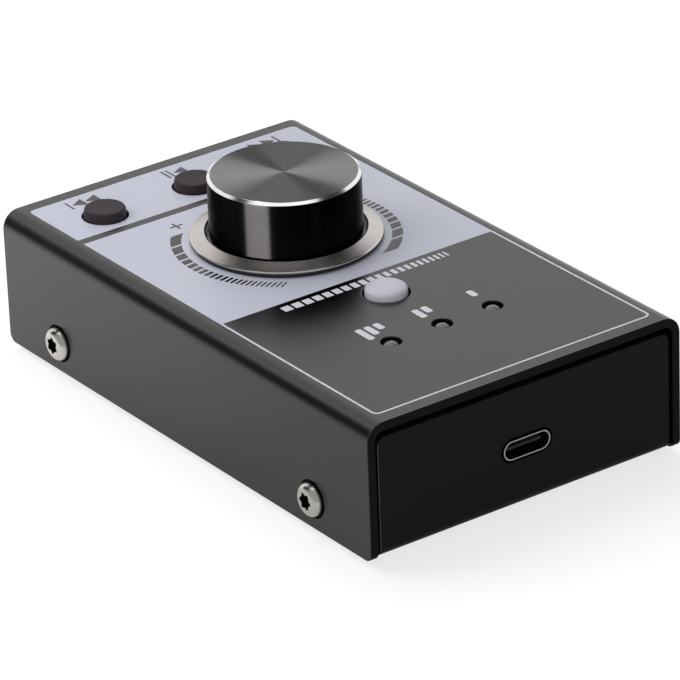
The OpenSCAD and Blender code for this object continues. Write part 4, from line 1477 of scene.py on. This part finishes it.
@dataclass
class Socket(SubAssembly):
    """Folded shell of the socket, with its tongue and contacts. A triple is across, up and along the box."""

    width: float = 8.94
    wall: float = 0.22
    lip: float = 0.06
    leg_width: float = 1.0
    leg_ys: Pair = (-6.4, -3.3)
    leg_edge: float = 0.05
    tongue: Triple = (6.7, 0.7, 6.15)
    tongue_edge: float = 0.12
    tongue_root: float = 0.2
    tongue_tip: float = 0.1
    block_l: float = 1.8
    slip: float = 0.02
    contact: Triple = (0.25, 0.03, 2.9)
    contact_count: int = 12
    contact_pitch: float = 0.5
    contact_end: float = 0.35
    contact_edge: float = 0.01

    def upright(self, outline: np.ndarray, y: float) -> np.ndarray:
        """Stands an outline (across, up) at a place along the box, round the socket's middle line."""
        return np.stack([outline[:, 0], np.full(len(outline), y), outline[:, 1] + self.datum.port_z], axis=1)

    @staticmethod
    def bar(lo: Sequence[float], hi: Sequence[float], edge: float) -> Shell:
        """Box with eased edges: a soft rectangle carried along Y, drawn in at both ends.

        Args:
            lo: lowest corner.
            hi: highest corner.
            edge: size of the eased edges.

        Returns:
            The closed box.
        """
        lo, hi = np.asarray(lo, float), np.asarray(hi, float)
        half = (hi - lo)[[0, 2]] / 2
        x, z = half
        ring = eased([(-x, -z, edge), (x, -z, edge), (x, z, edge), (-x, z, edge)], 3)
        shut, drawn = np.zeros(2), 1 - edge / half
        ends = ((lo[1], shut), (lo[1], drawn), (lo[1] + edge, 1),
                (hi[1] - edge, 1), (hi[1], drawn), (hi[1], shut))
        rows = [np.insert(ring * scale, 1, y, axis=1) + [lo[0] + x, 0, lo[2] + z] for y, scale in ends]
        return net(np.stack(rows), (False, True))

    def shell(self, back: float, mouth: float, height: float) -> Shell:
        """Carries the section of the shell's wall round a slot-shaped ring.

        Args:
            back: place of the shell's rear end.
            mouth: place of its open end.
            height: its overall height.

        Returns:
            The shell without its legs.
        """
        place, out = stadium(self.width, height)
        t, lip = self.wall, self.lip
        section = eased([(0, back, lip), (0, mouth, lip), (-t, mouth, lip), (-t, back + t, lip),
                         (-t, back + t, 0), (-t, back, lip)], 3)
        return net(np.stack([self.upright(place + out * w, y) for w, y in section]), (True, True))

    def legs(self, mouth: float, foot: float) -> list[Shell]:
        """Makes the four legs that go through the circuit board.

        Args:
            mouth: place of the shell's open end.
            foot: height of their lower ends.

        Returns:
            The legs, two on each side.
        """
        t, half, top = self.wall, self.leg_width / 2, self.datum.port_z
        places = [(side * (self.width - t) / 2 - t / 2, mouth + y) for side in (-1, 1) for y in self.leg_ys]
        return [self.bar((x, y - half, foot), (x + t, y + half, top), self.leg_edge) for x, y in places]

    def blade(self, root: float, height: float) -> list[Shell]:
        """Makes the block that fills the shell's rear end, and the tongue that stands out of it.

        Args:
            root: place of the block's rear face.
            height: overall height of the shell.

        Returns:
            The block and the tongue.
        """
        half_w, half_h, z = self.tongue[0] / 2, self.tongue[1] / 2, self.datum.port_z
        front, inset = root + self.block_l, 2 * (self.wall + self.slip)
        outline, _ = stadium(self.width - inset, height - inset)
        rows = [self.upright(outline * scale, y)
                for scale, y in ((0, root), (1, root), (1, front), (0, front))]
        tongue = self.bar((-half_w, front - self.tongue_root, z - half_h),
                          (half_w, root + self.tongue[2] + self.tongue_tip, z + half_h), self.tongue_edge)
        return [net(np.stack(rows), (False, True)), tongue]

    def contacts(self, root: float) -> list[Shell]:
        """Lays a row of contacts in both faces of the tongue.

        Args:
            root: place of the block's rear face.

        Returns:
            The contacts.
        """
        width, rise, run = self.contact
        half, end = width / 2, root + self.tongue[2] - self.contact_end
        xs = (np.arange(self.contact_count) - (self.contact_count - 1) / 2) * self.contact_pitch
        faces = [self.datum.port_z + side * self.tongue[1] / 2 for side in (-1, 1)]
        return [self.bar((x - half, end - run, z - rise), (x + half, end, z + rise), self.contact_edge)
                for x in xs for z in faces]

    def build(self) -> None:
        """Makes the shell with its legs, the tongue on its block, and the contacts."""
        low, high = span("usb_shell")
        back, mouth = float(low[1]), float(high[1])
        height, root = 2 * (float(high[2]) - self.datum.port_z), back + self.wall
        self.keep("socket_shell", [self.shell(back, mouth, height)] + self.legs(mouth, float(low[2])),
                  "housing", "usb_shell")
        self.keep("socket_tongue", self.blade(root, height), "housing", "usb_tongue")
        self.keep("socket_contacts", self.contacts(root), "housing")

    def dress(self) -> None:
        """Gives the shell its steel, the tongue its black moulding and the contacts their plating."""
        dress(self.pieces["socket_shell"], "socket_steel", SOCKET_STEEL)
        dress(self.pieces["socket_tongue"], "dark_plastic", BLACK_MOULDING)
        dress(self.pieces["socket_contacts"], "contact_brass", GOLD_CONTACT)


@dataclass
class Works(SubAssembly):
    """The pieces inside, which keep their CAD shapes and get finishes of their own."""

    finishes: dict[str, Finish] = field(default_factory=lambda: {
        "clinch_nuts": NUT_STEEL, "knob_core": GREY_MOULDING, "encoder_base": GREY_MOULDING,
        "encoder_bush": CAST_ZINC, "encoder_clip": TINNED, "encoder_pins": TINNED, "encoder_rotor": BRASS,
        "encoder_shaft": TURNED_STEEL, "circuit_board": LAMINATE, "board_standoffs": BRASS,
        "board_screws": TURNED_STEEL, "controller_chip": GREY_MOULDING, "crystal": CRYSTAL_CAN,
        "capacitor": CAPACITOR_CAN, "switch_pins": TINNED, "light_leads": TINNED,
        **{f"{n}_plunger": WHITE_NYLON for n in ("previous", "play", "next", "mode")},
        **{f"{n}_switch": BLACK_MOULDING for n in ("previous", "play", "next", "mode")},
        **{f"{n}_spacer": BLACK_MOULDING for n in LIGHTS}})

    def build(self) -> None:
        """Takes the nodes from the frame as they are."""
        self.pieces = {name: frame["nodes"][name] for name in self.finishes}

    def dress(self) -> None:
        """Gives each node its finish."""
        for name, finish in self.finishes.items():
            dress(self.pieces[name], "", finish)


# Studio

def compass(azimuth: float, elevation: float) -> Triple:
    """Direction of an angle from +X towards +Y and an angle up from the floor, in degrees."""
    az, el = math.radians(azimuth), math.radians(elevation)
    return math.cos(az) * math.cos(el), math.sin(az) * math.cos(el), math.sin(el)


class Seen(Enum):
    """Which rays a softbox lights."""

    COLOUR = "colour alone"
    GLOSS = "gloss alone"


@dataclass(frozen=True)
class Softbox:
    """Rectangular area light that looks at the object from a compass direction and a height.

    Its distance and size are in metres. Where `lit` names a piece, the light falls on that piece alone.
    """

    azimuth: float
    elevation: float
    distance: float
    size: Pair
    power: float
    seen: Seen
    lit: str = ""


@dataclass(frozen=True)
class Glow:
    """Patch of the dome that reflections see, round a direction, with its half sizes in degrees."""

    azimuth: float
    elevation: float
    half_width: float
    half_height: float
    soft: float
    level: float

    def share(self, graph: Graph, ray: bpy.types.NodeSocket) -> bpy.types.NodeSocket:
        """How far a ray lies in the patch, from 1 inside to 0 past its soft rim.

        With the middle direction c, the level direction e across it and the direction f square to both, a
        ray d lies at the angle arctan(d.e / d.c) across and at the angle arcsin(d.f) up.

        Args:
            graph: the world's nodes.
            ray: direction of the ray.

        Returns:
            The share.
        """
        axes = (compass(self.azimuth, self.elevation), compass(self.azimuth + 90, 0),
                compass(self.azimuth + 180, 90 - self.elevation))
        c, e, f = (graph.add("VectorMath", {"operation": "DOT_PRODUCT"}, n0=ray, n1=axis).outputs["Value"]
                   for axis in axes)
        share = 1.0
        for angle, half in ((graph.math("ARCTAN2", e, c), self.half_width),
                            (graph.math("ARCSINE", f), self.half_height)):
            away = graph.math("DEGREES", graph.math("ABSOLUTE", angle))
            inside = graph.add("MapRange", {"interpolation_type": "SMOOTHSTEP"}, Value=away,
                               From_Min=half - self.soft, From_Max=half + self.soft, To_Min=1.0, To_Max=0.0)
            share = graph.math("MULTIPLY", inside.outputs[0], share)
        return share


@dataclass
class Studio:
    """Floor, lights, background and camera. The camera and the floor's sizes are in millimetres."""

    datum: Datum
    azimuth: float = 144.94
    elevation: float = 26.1
    roll: float = -2.23
    distance: float = 847.3
    focal_px: float = 5289.0
    picture_px: int = 680
    aim: Pair = (0.433, 8.318)
    sensor: float = 36.0
    clip_end: float = 20.0
    floor_half: float = 3000.0
    boxes: tuple[Softbox, ...] = (
        Softbox(250, 62, 0.8, (0.6, 0.6), 3.4, Seen.COLOUR),
        Softbox(318, 40, 0.42, (0.25, 0.3), 0.8, Seen.COLOUR),
        Softbox(55, 14, 0.8, (0.5, 0.4), 3.0, Seen.COLOUR),
        Softbox(13.2, 0.42, 0.8, (0.5, 0.032), 95.0, Seen.GLOSS, "knob_cup"),
    )
    glows: tuple[Glow, ...] = (
        Glow(235, 58, 75, 24, 3, 0.05),
        Glow(228, 20, 72, 15, 3, 1.0),
        Glow(266, 38, 27, 10, 5, 0.95),
        Glow(292, 47, 5, 5, 2, 1.0),
        Glow(308, 16, 10, 13, 7, 0.02),
        Glow(190, 24, 20, 18, 3, 1.0),
        Glow(55, 86, 28, 8, 2, 1.15),
        Glow(142, 43, 20, 22, 3, 0.03),
    )
    dome: float = 0.4
    fill: float = 0.22
    floor_grey: float = 0.35
    floor_glow: float = 0.72
    floor_gloss: Pair = (1.05, 0.4)
    floor_fade: Pair = (-90.0, 10.0)
    floor_far: Pair = (60.0, 150.0)
    floor_far_share: float = 0.3

    def camera(self) -> None:
        """Sets the camera up from the compass direction, height and roll of the picture.

        The camera's azimuth counts from -Y, a quarter turn before +X. Its right and up turn about its own
        line by the roll, and it is moved along both so that the box sits in the picture as it should.
        """
        back = Vector(compass(self.azimuth - 90, self.elevation))
        right = (-back).cross(Vector((0, 0, 1))).normalized()
        up = right.cross(-back)
        c, s = math.cos(math.radians(self.roll)), math.sin(math.radians(self.roll))
        right, up = c * right + s * up, c * up - s * right
        at = back * self.distance + right * self.aim[0] + up * self.aim[1] + Vector((0, 0, self.datum.base_z))
        data = bpy.data.cameras.new("camera")
        data.sensor_width = self.sensor
        data.lens = self.focal_px / self.picture_px * self.sensor
        data.clip_end = self.clip_end
        made = placed("camera", data)
        made.matrix_world = Matrix.Translation(at * MM) @ Matrix((right, up, back)).transposed().to_4x4()
        bpy.context.scene.camera = made

    def lamps(self) -> None:
        """Hangs the softboxes, each looking at the middle of the object."""
        aim = Vector((0, 0, self.datum.face_z / 2 * MM))
        for number, box in enumerate(self.boxes):
            way = Vector(compass(box.azimuth, box.elevation))
            data = bpy.data.lights.new(f"softbox_{number}", "AREA")
            data.shape = "RECTANGLE"
            data.size, data.size_y = box.size
            data.energy = box.power
            made = placed(data.name, data)
            made.location = aim + way * box.distance
            made.rotation_euler = way.to_track_quat("Z", "Y").to_euler()
            made.visible_diffuse = box.seen is Seen.COLOUR
            made.visible_glossy = box.seen is Seen.GLOSS
            if box.lit:
                group = bpy.data.collections.new(f"lit_by_{number}")
                group.objects.link(bpy.data.objects[box.lit])
                made.light_linking.receiver_collection = group

    def world(self) -> None:
        """Even pale light from all round, white for the camera, and a dome of patches for reflections."""
        made = bpy.data.worlds.new("studio")
        made.use_nodes = True
        graph = Graph(made.node_tree)
        camera, sent_on = graph.rays()
        ray = graph.add("TexCoord").outputs["Generated"]
        dome = self.dome
        for glow in self.glows:
            dome = graph.add("Mix", {"data_type": "FLOAT"}, n0=glow.share(graph, ray), n2=dome,
                             n3=glow.level).outputs[0]
        level = graph.add("MapRange", Value=sent_on, To_Min=self.fill, To_Max=dome).outputs[0]
        level = graph.math("MAXIMUM", level, camera)
        sky = graph.add("Background", Color=(1, 1, 1, 1), Strength=level)
        graph.add("OutputWorld", Surface=sky.outputs[0])
        bpy.context.scene.world = made

    def floor(self) -> None:
        """Pale floor that keeps the object's shadow and reads as white in the picture.

        Reflections see it at a level that fades from `floor_gloss` one to two over Y, and to a share of that
        over X, each between two places.
        """
        half = self.floor_half * MM
        mesh = bpy.data.meshes.new("floor")
        corners = [(-half, -half, 0), (half, -half, 0), (half, half, 0), (-half, half, 0)]
        mesh.from_pydata(corners, [], [(0, 1, 2, 3)])
        made = placed("floor", mesh)
        material = bpy.data.materials.new("floor")
        material.use_nodes = True
        graph = Graph(material.node_tree)
        camera, sent_on = graph.rays()
        place = graph.add("SeparateXYZ", Vector=graph.add("TexCoord").outputs["Object"]).outputs
        near, far = (graph.add("MapRange", Value=place[axis], From_Min=ends[0] * MM, From_Max=ends[1] * MM,
                               To_Min=levels[0], To_Max=levels[1]).outputs[0]
                     for axis, ends, levels in (("Y", self.floor_fade, self.floor_gloss),
                                                ("X", self.floor_far, (1.0, self.floor_far_share))))
        level = graph.math("MULTIPLY", near, far)
        seen = graph.math("MAXIMUM", camera, graph.math("MULTIPLY", sent_on, level))
        paint = graph.add("BsdfDiffuse", Color=(self.floor_grey, self.floor_grey, self.floor_grey, 1))
        strength = graph.math("MULTIPLY", seen, self.floor_glow)
        shine = graph.add("Emission", Color=(1, 1, 1, 1), Strength=strength)
        both = graph.add("AddShader", n0=paint.outputs[0], n1=shine.outputs[0])
        graph.add("OutputMaterial", Surface=both.outputs[0])
        mesh.materials.append(material)

    def build(self) -> None:
        """Sets up the whole studio."""
        self.camera()
        self.lamps()
        self.world()
        self.floor()
        bpy.context.scene.view_settings.view_transform = "Standard"


def main() -> None:
    """Builds every sub-assembly round the frame, dresses it and sets up the studio."""
    logging.basicConfig(level=logging.INFO, format="%(message)s")
    datum = Datum.from_frame()
    for kind in (Cover, Tray, Prints, CaseScrews, Feet, KnobDrive, Buttons, Lights, Socket, Works):
        group = kind(datum)
        group.build()
        group.dress()
        group.report()
    Studio(datum).build()


if __name__ == "__main__":
    main()
